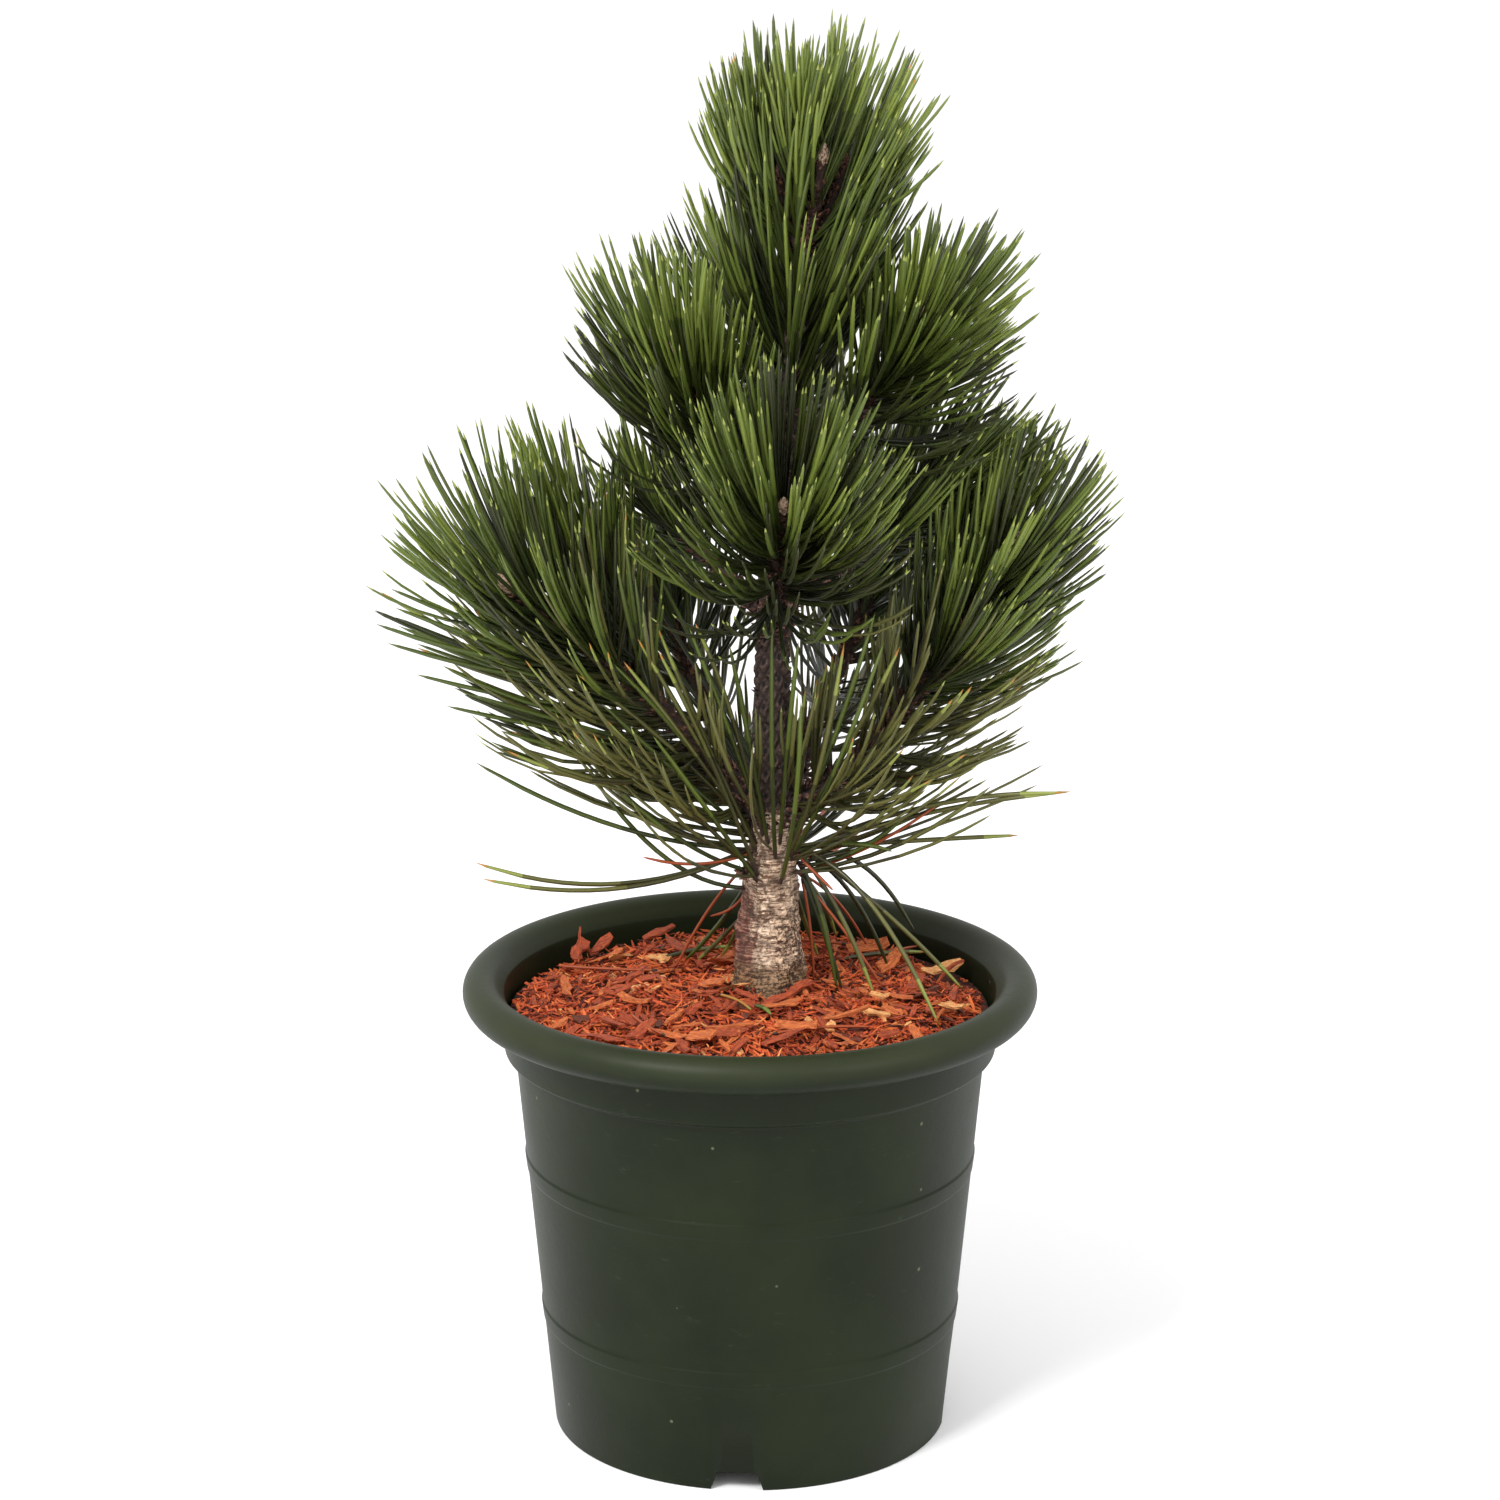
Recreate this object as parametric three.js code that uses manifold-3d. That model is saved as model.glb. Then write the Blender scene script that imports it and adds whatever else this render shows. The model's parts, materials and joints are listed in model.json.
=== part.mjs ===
// A dwarf Bosnian pine in its round nursery pot.
// Millimetres, +Z up. The origin is the middle of the pot's underside, and -Y is the front.
// Headings are plan angles in degrees: 0 is right, 90 is back, 180 is left, 270 is front.
import * as THREE from "three";
import { mergeVertices } from "three/addons/utils/BufferGeometryUtils.js";
import Module from "manifold-3d";

const wasm = await Module();
wasm.setup();

// Driving sizes of the pot
const POT_SIDES = 36;
const WALL = 2.2;
const FOOT_ROUND = 0.8;
const FOOT_RADIUS = 79.7;
const BODY_TOP_RADIUS = 94.2;
const BODY_TOP = 157.3;
const COLLAR_RADIUS = 98.5;
const COLLAR_FOOT = 159;
const COLLAR_WALL = 2;
const COLLAR_LEAN = 1.2;
const ROLL_RADIUS = 107.6;
const ROLL_TUBE = 7.4;
const ROLL_HEIGHT = 182.8;
const ROLL_STEPS = 7;
const BAND_FEET = [44.5, 108.5];
const BAND_HEIGHT = 7.8;
const BAND_PROUD = 0.5;
const FLOOR_LIFT = 8;
const PAD_RADIUS = 58;
const PAD_SLOPE = 5;
const CHANNEL_RADIUS = 70;
const NOTCHES = 4;
const NOTCH_TURN = -3.2;
const NOTCH_FOOT_WIDTH = 20.2;
const NOTCH_TOP_WIDTH = 15.1;
const NOTCH_HEIGHT = 7.7;
const DRAINS = 8;
const DRAIN_RADIUS = 4.5;

// Driving sizes of what fills the pot
const GAP = 0.3;
const SOIL_TOP = 171.7;
const MULCH_EDGE = 175;
const MULCH_MIDDLE = 181;
const MULCH_RADIUS = 96.6;
const CHIPS = 16;

// Driving sizes of the plant
const GROUND = 172;
const TRUNK_SIDES = 12;
const TRUNK_RING_STEP = 11;
const trunkCentres = [
  [9, 8, 172],
  [10, 8, 217],
  [10.5, 8, 243],
  [9, 8, 290],
  [8.7, 9, 325],
  [15, 10, 405],
  [20, 9, 474],
];
const trunkRadii = [
  [172, 16.8],
  [181, 14.8],
  [195, 12.9],
  [217, 11.9],
  [236, 9.4],
  [246, 9.6],
  [258, 7.3],
  [290, 6.5],
  [325, 5.6],
  [405, 4.4],
  [474, 3.2],
];
const BOUGH_SIDES = 7;
const BOUGH_TAPER = 0.62;
const TWIG_SIDES = 4;
const TWIG_TIP_RADIUS = 2.2;
const BUD_RADIUS = 2.6;
const BUD_ZONE = 9;
const NEEDLE_LENGTH = 73;
const OLD_NEEDLE_LENGTH = 100;
const OPEN_TILT = 74;
const CLOSED_TILT = 19;
const SPRAY_HALF_WIDTH = 2.5;
const SPRAY_WAIST = 0.42;
const SPRAY_CLEARANCE = 2.9;
const SPRAY_APART = 10;
const SPRAY_TRIES = 6;
const SHORTEST_SHARE = 0.55;

// A branch leaves the trunk at a height, runs out along a heading and ends in a bud. Arch is how far
// its middle control point stands above the chord. Bare is the share of it with no needles, which is
// the bough; the rest is the stem of a tuft. Side shoots leave that stem at a share of its length.
// Sprays is how many bundles of needles a shoot carries.
const branches = [
  {
    name: "left_low", leaves: 246, heading: 192, reach: 104, bud: 348, arch: 13,
    bare: 0.22, thick: 5, sprays: 58,
    side: { at: 0.3, heading: 140, reach: 34, rise: 68, sprays: 28 },
  },
  {
    name: "right_low", leaves: 250, heading: 354, reach: 93, bud: 362, arch: -27,
    bare: 0.26, thick: 4.8, sprays: 56,
    side: { at: 0.3, heading: 35, reach: 42, rise: 80, sprays: 28 },
  },
  {
    name: "back_left_low", leaves: 240, heading: 125, reach: 96, bud: 338, arch: -6,
    bare: 0.3, thick: 4.6, sprays: 42,
  },
  {
    name: "back_right_low", leaves: 257, heading: 60, reach: 98, bud: 346, arch: -6,
    bare: 0.3, thick: 4.6, sprays: 42,
  },
  {
    name: "front_mid", leaves: 328, heading: 273, reach: 69, bud: 390, arch: -8,
    bare: 0.3, thick: 3.9, sprays: 58,
  },
  {
    name: "left_mid", leaves: 334, heading: 158, reach: 50, bud: 376, arch: -6,
    bare: 0.4, thick: 3.6, sprays: 30,
  },
  {
    name: "right_mid", leaves: 338, heading: 14, reach: 62, bud: 378, arch: -6,
    bare: 0.4, thick: 3.6, sprays: 30,
  },
  {
    name: "back_mid", leaves: 340, heading: 92, reach: 62, bud: 384, arch: -6,
    bare: 0.38, thick: 3.7, sprays: 34,
  },
  {
    name: "left_high", leaves: 372, heading: 203, reach: 43, bud: 438, arch: -20,
    bare: 0.3, thick: 3.4, sprays: 46,
  },
  {
    name: "right_high", leaves: 384, heading: 346, reach: 56, bud: 452, arch: -8,
    bare: 0.3, thick: 3.4, sprays: 46,
  },
  {
    name: "back_high", leaves: 394, heading: 98, reach: 48, bud: 446, arch: -8,
    bare: 0.34, thick: 3.2, sprays: 36,
  },
];
const topShoots = [
  { heading: 200, reach: 9, rise: 27, sprays: 20 },
  { heading: 325, reach: 9, rise: 35, sprays: 22 },
  { heading: 20, reach: 17, rise: 31, sprays: 20 },
  { heading: 105, reach: 16, rise: 24, sprays: 16 },
];
const SLEEVE_WALL = 1.9;
const SLEEVE_CAP = 6;
const LEADER_NEEDLES_FROM = 408;
const LEADER_SPRAYS = 38;
const LEADER_CLOSED = 0.42;
const LOW_NEEDLES = [218, 234];
const LOW_NEEDLE_LENGTH = 112;
const LOW_SPRAYS = 38;
const LOW_SPACE = 1.9;

// Seeded random numbers, the same at every run.
function randomFrom(seed) {
  let state = seed >>> 0;
  return () => {
    state = (state + 0x6d2b79f5) >>> 0;
    let t = Math.imul(state ^ (state >>> 15), state | 1);
    t = (t + Math.imul(t ^ (t >>> 7), t | 61)) ^ t;
    return ((t ^ (t >>> 14)) >>> 0) / 4294967296;
  };
}

const mix = (a, b, t) => a + (b - a) * t;
const radians = THREE.MathUtils.degToRad;
const vector = (p) => new THREE.Vector3(...p);
const towards = (heading) => new THREE.Vector3(Math.cos(radians(heading)), Math.sin(radians(heading)), 0);

function solidOf(geometry) {
  const bare = geometry.clone();
  bare.deleteAttribute("normal");
  bare.deleteAttribute("uv");
  const merged = mergeVertices(bare, 1e-4);
  return new wasm.Manifold(
    new wasm.Mesh({
      numProp: 3,
      vertProperties: new Float32Array(merged.attributes.position.array),
      triVerts: new Uint32Array(merged.index.array),
    }),
  );
}

function geometryOf(solid) {
  const mesh = solid.getMesh();
  const geometry = new THREE.BufferGeometry();
  geometry.setAttribute("position", new THREE.BufferAttribute(mesh.vertProperties, 3));
  geometry.setIndex(new THREE.BufferAttribute(mesh.triVerts, 1));
  geometry.computeVertexNormals();
  return geometry;
}

// The largest connected piece of a solid: scraps that a cut leaves loose are dropped.
function largestPiece(solid) {
  return solid.decompose().sort((a, b) => b.volume() - a.volume())[0];
}

function turned(profile, sides) {
  const lathe = new THREE.LatheGeometry(profile.map(([r, z]) => new THREE.Vector2(r, z)), sides);
  return solidOf(lathe.rotateX(Math.PI / 2));
}

// A closed skin over rings of points, each ring counterclockwise as seen from the last one.
function loft(rings) {
  const sides = rings[0].length;
  const points = rings.flat();
  const faces = [];
  for (let i = 0; i + 1 < rings.length; i++)
    for (let k = 0; k < sides; k++) {
      const a = i * sides + k;
      const b = i * sides + ((k + 1) % sides);
      faces.push(a, b, a + sides, b, b + sides, a + sides);
    }
  const last = (rings.length - 1) * sides;
  for (let k = 1; k + 1 < sides; k++) faces.push(0, k + 1, k, last, last + k, last + k + 1);
  const geometry = new THREE.BufferGeometry().setFromPoints(points);
  geometry.setIndex(faces);
  return solidOf(geometry);
}

// A ring of points round a centre, square to a direction.
function ringRound(centre, direction, radius, sides) {
  const along = direction.clone().normalize();
  const across = new THREE.Vector3(0, 0, 1).cross(along);
  if (across.lengthSq() < 1e-6) across.set(1, 0, 0);
  across.normalize();
  const up = along.clone().cross(across);
  return Array.from({ length: sides }, (_, k) => {
    const turn = (2 * Math.PI * k) / sides;
    return centre
      .clone()
      .addScaledVector(across, radius * Math.cos(turn))
      .addScaledVector(up, radius * Math.sin(turn));
  });
}

// A tapering limb along part of a curve.
function limb(curve, from, to, radiusAt, sides, steps) {
  const rings = Array.from({ length: steps + 1 }, (_, i) => {
    const t = mix(from, to, i / steps);
    return ringRound(curve.getPoint(t), curve.getTangent(t), radiusAt(t), sides);
  });
  return loft(rings);
}

function wallRadius(z) {
  return mix(FOOT_RADIUS, BODY_TOP_RADIUS, z / BODY_TOP);
}

// The pot's inner profile, from the roll down to the middle of the floor, or that far inside it.
function insideOfPot(inset) {
  const shelf = FLOOR_LIFT + WALL + inset;
  return [
    [COLLAR_RADIUS, ROLL_HEIGHT],
    [COLLAR_RADIUS - COLLAR_WALL - 2 * inset, COLLAR_FOOT + COLLAR_WALL],
    [BODY_TOP_RADIUS - WALL - 2 * inset, BODY_TOP - WALL],
    [wallRadius(shelf) - WALL - inset, shelf],
    [PAD_RADIUS + PAD_SLOPE - 1 - inset, shelf],
    [PAD_RADIUS - 1 - inset, WALL + inset],
    [0, WALL + inset],
  ];
}

function potSolid() {
  const band = (foot) => [
    [wallRadius(foot), foot],
    [wallRadius(foot) + BAND_PROUD, foot + BAND_PROUD],
    [wallRadius(foot + BAND_HEIGHT) + BAND_PROUD, foot + BAND_HEIGHT - BAND_PROUD],
    [wallRadius(foot + BAND_HEIGHT), foot + BAND_HEIGHT],
  ];
  const rollFrom = -140;
  const rollTo = 150;
  const roll = Array.from({ length: ROLL_STEPS + 1 }, (_, i) => {
    const turn = radians(mix(rollFrom, rollTo, i / ROLL_STEPS));
    return [ROLL_RADIUS + ROLL_TUBE * Math.cos(turn), ROLL_HEIGHT + ROLL_TUBE * Math.sin(turn)];
  });
  const profile = [
    [0, 0],
    [PAD_RADIUS, 0],
    [PAD_RADIUS + PAD_SLOPE, FLOOR_LIFT],
    [FOOT_RADIUS - WALL - 2 * GAP, FLOOR_LIFT],
    [FOOT_RADIUS - WALL - GAP, 0],
    [FOOT_RADIUS - FOOT_ROUND, 0],
    [FOOT_RADIUS, FOOT_ROUND],
    ...BAND_FEET.flatMap(band),
    [BODY_TOP_RADIUS, BODY_TOP],
    [COLLAR_RADIUS - FOOT_ROUND, COLLAR_FOOT - FOOT_ROUND],
    [COLLAR_RADIUS, COLLAR_FOOT],
    [COLLAR_RADIUS + COLLAR_LEAN, ROLL_HEIGHT - ROLL_TUBE],
    ...roll,
    ...insideOfPot(0),
  ];
  const cutters = [];
  for (let i = 0; i < NOTCHES; i++) {
    const outline = new THREE.Shape([
      new THREE.Vector2(-NOTCH_FOOT_WIDTH / 2, -1),
      new THREE.Vector2(NOTCH_FOOT_WIDTH / 2, -1),
      new THREE.Vector2(NOTCH_TOP_WIDTH / 2, NOTCH_HEIGHT),
      new THREE.Vector2(-NOTCH_TOP_WIDTH / 2, NOTCH_HEIGHT),
    ]);
    const notch = new THREE.ExtrudeGeometry(outline, { depth: 3 * WALL, bevelEnabled: false });
    notch.rotateX(Math.PI / 2).translate(0, 2 * WALL - FOOT_RADIUS, 0);
    cutters.push(solidOf(notch.rotateZ(radians(NOTCH_TURN + (360 / NOTCHES) * i))));
  }
  for (let i = 0; i < DRAINS; i++) {
    const drain = new THREE.CylinderGeometry(DRAIN_RADIUS, DRAIN_RADIUS, 4 * WALL, 8).rotateX(Math.PI / 2);
    drain.translate(CHANNEL_RADIUS, 0, FLOOR_LIFT);
    cutters.push(solidOf(drain.rotateZ(radians(NOTCH_TURN + (360 / DRAINS) * (i + 0.5)))));
  }
  return turned(profile, POT_SIDES).subtract(wasm.Manifold.union(cutters));
}

// The potting mix, a plug that fills the pot a hair inside its wall and floor.
function pottingMixSolid() {
  const below = insideOfPot(GAP).slice(1).reverse();
  return turned([...below, [COLLAR_RADIUS - COLLAR_WALL, SOIL_TOP], [0, SOIL_TOP]], POT_SIDES);
}

function mulchHeight(r, turn) {
  const broad = 0.9 * Math.sin(3 * turn + r / 9);
  const fine = 0.7 * Math.sin(7 * turn - r / 5) + 0.6 * Math.cos(r / 4 + turn);
  return mix(MULCH_MIDDLE, MULCH_EDGE, (r / MULCH_RADIUS) ** 2) + broad + fine;
}

// The mulch: a low mound of wood chips, some of them lying proud of it, with a hole for the trunk.
function mulchSolid() {
  const sides = 24;
  const radii = [MULCH_RADIUS, 82, 62, 42, 22];
  const ring = (r, height) =>
    Array.from({ length: sides }, (_, k) => {
      const turn = (2 * Math.PI * k) / sides;
      return new THREE.Vector3(r * Math.cos(turn), r * Math.sin(turn), height(turn));
    });
  const foot = ring(MULCH_RADIUS, () => SOIL_TOP + GAP);
  const rings = [foot, ...radii.map((r) => ring(r, (turn) => mulchHeight(r, turn)))];
  const random = randomFrom(11);
  const chips = Array.from({ length: CHIPS }, () => {
    const length = mix(9, 24, random());
    const chip = new THREE.BoxGeometry(length, mix(3, 7, random()), mix(1.2, 2.4, random()));
    chip.rotateY(radians(mix(-16, 16, random()))).rotateZ(2 * Math.PI * random());
    const r = mix(24, MULCH_RADIUS - 16, Math.sqrt(random()));
    const turn = 2 * Math.PI * random();
    return solidOf(chip.translate(r * Math.cos(turn), r * Math.sin(turn), mulchHeight(r, turn) + 0.5));
  });
  return wasm.Manifold.union([loft(rings), ...chips]);
}

const trunkCurve = new THREE.CatmullRomCurve3(trunkCentres.map(vector));
const trunkTop = trunkCentres.at(-1)[2];
const trunkSamples = trunkCurve.getPoints(240);

function trunkCentre(z) {
  const nearer = (a, b) => (Math.abs(b.z - z) < Math.abs(a.z - z) ? b : a);
  return trunkSamples.reduce(nearer).clone().setZ(z);
}

function trunkRadius(z) {
  const i = Math.min(Math.max(trunkRadii.findIndex(([h]) => h >= z), 1), trunkRadii.length - 1);
  const [[lowZ, lowR], [highZ, highR]] = [trunkRadii[i - 1], trunkRadii[i]];
  return mix(lowR, highR, (z - lowZ) / (highZ - lowZ));
}

// The trunk, in level rings from the flat cut at the ground to its tip. Grow makes it fatter all over.
function trunkSolid(grow = 0) {
  const rings = Math.round((trunkTop - GROUND) / TRUNK_RING_STEP);
  const ring = (z, foot) =>
    Array.from({ length: TRUNK_SIDES }, (_, k) => {
      const turn = (2 * Math.PI * k) / TRUNK_SIDES;
      const flare = Math.max(0, 1 - (foot - GROUND) / 16);
      const ridges = 1 + 0.05 * Math.sin(3 * turn + foot / 11) + 0.13 * flare * Math.sin(5 * turn + 1);
      const r = trunkRadius(foot) * ridges + grow;
      const centre = trunkCentre(foot);
      return new THREE.Vector3(centre.x + r * Math.cos(turn), centre.y + r * Math.sin(turn), z);
    });
  return loft(
    Array.from({ length: rings + 1 }, (_, i) => {
      const foot = mix(GROUND, trunkTop, i / rings);
      const lift = i === 0 ? -grow : i === rings ? grow : 0;
      return ring(foot + lift, foot);
    }),
  );
}

// The whole line of a branch, from the trunk's middle to its bud.
function branchCurve({ leaves, heading, reach, bud, arch }) {
  const start = trunkCentre(leaves);
  const end = start.clone().addScaledVector(towards(heading), reach).setZ(bud);
  const middle = start.clone().add(end).multiplyScalar(0.5);
  middle.z += arch;
  return new THREE.QuadraticBezierCurve3(start, middle, end);
}

function sideCurve(stem, { at, heading, reach, rise }) {
  const start = stem.getPoint(at);
  const end = start.clone().addScaledVector(towards(heading), reach);
  end.z += rise;
  const middle = start.clone().add(end).multiplyScalar(0.5);
  middle.z -= rise * 0.15;
  return new THREE.QuadraticBezierCurve3(start, middle, end);
}

// A shoot is a curve, the share of it where needles start, its radius there and how many sprays it has.
// Joined shoots start inside another stem, and closed is how far the tilt of their needles has shut there.
function shootsOf(branch) {
  const main = branchCurve(branch);
  const thick = branch.thick * BOUGH_TAPER;
  const shoots = [{ curve: main, from: branch.bare, thick, sprays: branch.sprays }];
  if (branch.side) {
    const at = mix(branch.bare, 1, branch.side.at);
    const curve = sideCurve(main, { ...branch.side, at });
    shoots.push({ curve, from: 0, joined: true, thick: branch.thick * 0.5, sprays: branch.side.sprays });
  }
  return shoots;
}

function shootRadius(shoot, t) {
  return mix(shoot.thick, TWIG_TIP_RADIUS, (t - shoot.from) / (1 - shoot.from));
}

function shootSolid(shoot, start) {
  const stem = limb(shoot.curve, start, 1, (t) => shootRadius(shoot, t), TWIG_SIDES, 3);
  const bud = new THREE.SphereGeometry(BUD_RADIUS, 5, 4).scale(1, 2.4, 1);
  const along = shoot.curve.getTangent(1);
  const tip = shoot.curve.getPoint(1);
  bud.applyQuaternion(new THREE.Quaternion().setFromUnitVectors(new THREE.Vector3(0, 1, 0), along));
  bud.translate(tip.x, tip.y, tip.z);
  return [stem, solidOf(bud)];
}

// One spray of needles: a three-sided spindle from the middle of its stem, bent at its widest ring.
function spraySolid({ root, waist, tip }) {
  const ring = ringRound(waist, tip.clone().sub(root), SPRAY_HALF_WIDTH, 3);
  const geometry = new THREE.BufferGeometry().setFromPoints([root, ...ring, tip]);
  geometry.setIndex([0, 2, 1, 0, 3, 2, 0, 1, 3, 4, 1, 2, 4, 2, 3, 4, 3, 1]);
  return solidOf(geometry);
}

// Where a spray stands: its root in the stem, its tilt closing from the foot of the shoot to the bud,
// and its outer part bent forward along the shoot and up towards the light.
function spray(root, along, turn, share, length, random) {
  const across = ringRound(new THREE.Vector3(), along, 1, 4)[0];
  const side = across.applyAxisAngle(along, turn);
  const tilt = radians(mix(OPEN_TILT, CLOSED_TILT, share ** 0.65) + mix(-8, 8, random()));
  const aim = along.clone().multiplyScalar(Math.cos(tilt)).addScaledVector(side, Math.sin(tilt));
  const bent = aim.clone().addScaledVector(along, mix(0.4, 0.1, share)).add(new THREE.Vector3(0, 0, 0.16));
  return bentSpray(root, aim, bent.normalize(), length);
}

function bentSpray(middle, aim, bent, length) {
  const root = middle.clone().addScaledVector(aim, -0.5);
  const waist = middle.clone().addScaledVector(aim, SPRAY_WAIST * length);
  return { root, waist, tip: waist.clone().addScaledVector(bent, (1 - SPRAY_WAIST) * length) };
}

function alongSpray({ root, waist, tip }, share) {
  if (share < SPRAY_WAIST) return root.clone().lerp(waist, share / SPRAY_WAIST);
  return waist.clone().lerp(tip, (share - SPRAY_WAIST) / (1 - SPRAY_WAIST));
}

function distanceToLine(point, line) {
  let best = Infinity;
  for (let i = 0; i + 1 < line.length; i++) {
    const near = new THREE.Line3(line[i], line[i + 1]).closestPointToPoint(point, true, new THREE.Vector3());
    best = Math.min(best, near.distanceTo(point));
  }
  return best;
}

// Every tuft's lines, which share the crown's space out: a point belongs to the tuft with the nearest.
const tufts = branches.map((branch) => {
  const shoots = shootsOf(branch);
  const lines = shoots.map((s) => [0, 0.2, 0.4, 0.6, 0.8, 1].map((t) => s.curve.getPoint(mix(s.from, 1, t))));
  return { name: "tuft_" + branch.name, branch, shoots, lines };
});

function leaderShoots() {
  const start = trunkCentre(trunkTop);
  return topShoots.map(({ heading, reach, rise, sprays }) => {
    const foot = start.clone().setZ(trunkTop + SLEEVE_CAP / 2);
    const end = foot.clone().addScaledVector(towards(heading), reach);
    end.z += rise;
    const middle = foot.clone().lerp(end, 0.4).addScaledVector(towards(heading), reach * 0.25);
    const curve = new THREE.QuadraticBezierCurve3(foot, middle, end);
    return { curve, from: 0, joined: true, thick: 3, sprays, closed: LEADER_CLOSED };
  });
}

const leader = { name: "tuft_leader", shoots: leaderShoots() };
leader.lines = [
  [trunkCentre(LEADER_NEEDLES_FROM), trunkCentre(440), trunkCentre(trunkTop)],
  ...leader.shoots.map((s) => [s.curve.getPoint(0), s.curve.getPoint(0.5), s.curve.getPoint(1)]),
];
const lowNeedles = { name: "low_needles", space: LOW_SPACE };
lowNeedles.lines = [LOW_NEEDLES.map((z) => trunkCentre(z))];
const masses = [...tufts, leader, lowNeedles];
masses.forEach((mass) => (mass.sprays = []));

const bareBoughs = branches.map((branch) => {
  const curve = branchCurve(branch);
  return { line: [0, 0.25, 0.5, 0.75, 1].map((t) => curve.getPoint(t * branch.bare)), thick: branch.thick };
});

// Whether a point is clear of the bare boughs and, unless its mass grows on it, of the trunk.
function clearOfLimbs(point, mass) {
  const level = Math.min(Math.max(point.z, GROUND), trunkTop);
  const onTrunk = mass === leader || mass === lowNeedles;
  const trunkClear = onTrunk || trunkCentre(level).distanceTo(point) > trunkRadius(level) + SPRAY_CLEARANCE;
  const clearOf = ({ line, thick }) => distanceToLine(point, line) > thick + SPRAY_CLEARANCE;
  return trunkClear && bareBoughs.every(clearOf);
}

function clearOfPot(point) {
  return point.z > ROLL_HEIGHT + ROLL_TUBE + SPRAY_CLEARANCE;
}

// A tuft's space is what lies nearer to it than to the others, or further by its space factor.
function inOwnSpace(point, mass) {
  const nearest = (lines) => Math.min(...lines.map((line) => distanceToLine(point, line)));
  const away = (other) => nearest(other.lines) / (other.space ?? 1);
  const own = away(mass);
  return masses.every((other) => other === mass || away(other) > own + 2 * SPRAY_CLEARANCE);
}

// The spray, cut short where it would leave its space, or nothing where too little of it is left.
function fitted(candidate, mass) {
  const steps = 12;
  for (let i = 2; i <= steps; i++) {
    const point = alongSpray(candidate, i / steps);
    if (clearOfPot(point) && clearOfLimbs(point, mass) && inOwnSpace(point, mass)) continue;
    const share = (i - 1) / steps;
    if (share < SHORTEST_SHARE) return [];
    const { root, waist } = candidate;
    return [{ root, waist: root.clone().lerp(waist, share), tip: alongSpray(candidate, share) }];
  }
  return [candidate];
}

// Evenly scattered pairs of numbers from 0 to 1, from the powers of one irrational number.
const PLASTIC = 1.32471795724;
const scattered = (i) => [(0.5 + i / PLASTIC) % 1, (0.5 + i / PLASTIC ** 2) % 1];

// Whether a spray keeps away from the others of its tuft, the more so the further out.
function standsApart(one, others) {
  const shares = [0.35, 0.5, 0.75, 1];
  return others.every(({ root, waist, tip }) =>
    shares.every((share) => distanceToLine(alongSpray(one, share), [root, waist, tip]) > SPRAY_APART * share),
  );
}

// As many sprays as asked for, from a rule that turns the n-th pair of numbers into a spray.
function spraysThatFit(count, mass, rule) {
  const before = mass.sprays.length;
  for (let i = 0; mass.sprays.length < before + count && i < SPRAY_TRIES * count; i++)
    mass.sprays.push(...fitted(rule(...scattered(i)), mass).filter((one) => standsApart(one, mass.sprays)));
  return mass.sprays.slice(before).map(spraySolid);
}

function spraysOfShoot(shoot, mass, random) {
  const end = 1 - BUD_ZONE / shoot.curve.getLength();
  const longest = shoot.joined ? NEEDLE_LENGTH : OLD_NEEDLE_LENGTH;
  return spraysThatFit(shoot.sprays, mass, (a, b) => {
    const t = mix(shoot.from + 0.03, end, a ** 0.8);
    const length = mix(longest, NEEDLE_LENGTH, Math.min(1, 2 * a)) * mix(0.9, 1.06, random());
    const share = mix(shoot.closed ?? 0, 1, a);
    return spray(shoot.curve.getPoint(t), shoot.curve.getTangent(t), 2 * Math.PI * b, share, length, random);
  });
}

function tuftSolid(mass, random) {
  const pieces = [];
  mass.shoots.forEach((shoot) => {
    const start = shoot.joined ? 0 : shoot.from + GAP / shoot.curve.getLength();
    pieces.push(...shootSolid(shoot, start), ...spraysOfShoot(shoot, mass, random));
  });
  return wasm.Manifold.union(pieces);
}

// A thin sleeve round the trunk that carries needles, to be cut clear of the trunk.
function sleeve(low, high, sides) {
  const rings = [0, 1, 2, 3].map((i) => {
    const z = mix(low, high, i / 3);
    const centre = trunkCentre(z);
    return Array.from({ length: sides }, (_, k) => {
      const turn = (2 * Math.PI * k) / sides;
      const r = trunkRadius(Math.min(z, trunkTop)) + SLEEVE_WALL;
      return new THREE.Vector3(centre.x + r * Math.cos(turn), centre.y + r * Math.sin(turn), z);
    });
  });
  return loft(rings);
}

function leaderSolid(random) {
  const shoots = tuftSolid(leader, random);
  const onTrunk = spraysThatFit(LEADER_SPRAYS, leader, (a, b) => {
    const root = trunkCentre(mix(LEADER_NEEDLES_FROM + 4, trunkTop, a));
    const length = NEEDLE_LENGTH * mix(1, 1.15, random());
    return spray(root, new THREE.Vector3(0, 0, 1), 2 * Math.PI * b, mix(0.25, 0.7, a), length, random);
  });
  const bark = sleeve(LEADER_NEEDLES_FROM, trunkTop + SLEEVE_CAP, 8);
  return wasm.Manifold.union([bark, shoots, ...onTrunk]);
}

// The long old needles that stand out all round the foot of the lowest boughs, in the shape of a bowl.
function lowNeedlesSolid(random) {
  const sprays = spraysThatFit(LOW_SPRAYS, lowNeedles, (a, b) => {
    const root = trunkCentre(mix(LOW_NEEDLES[0] + 3, LOW_NEEDLES[1] - 3, a));
    const aim = towards(360 * b).setZ(mix(0.15, 0.75, random())).normalize();
    const bent = aim.clone().add(new THREE.Vector3(0, 0, 0.5)).normalize();
    return bentSpray(root, aim, bent, LOW_NEEDLE_LENGTH * mix(0.85, 1.05, random()));
  });
  return wasm.Manifold.union([sleeve(...LOW_NEEDLES, 10), ...sprays]);
}

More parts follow.
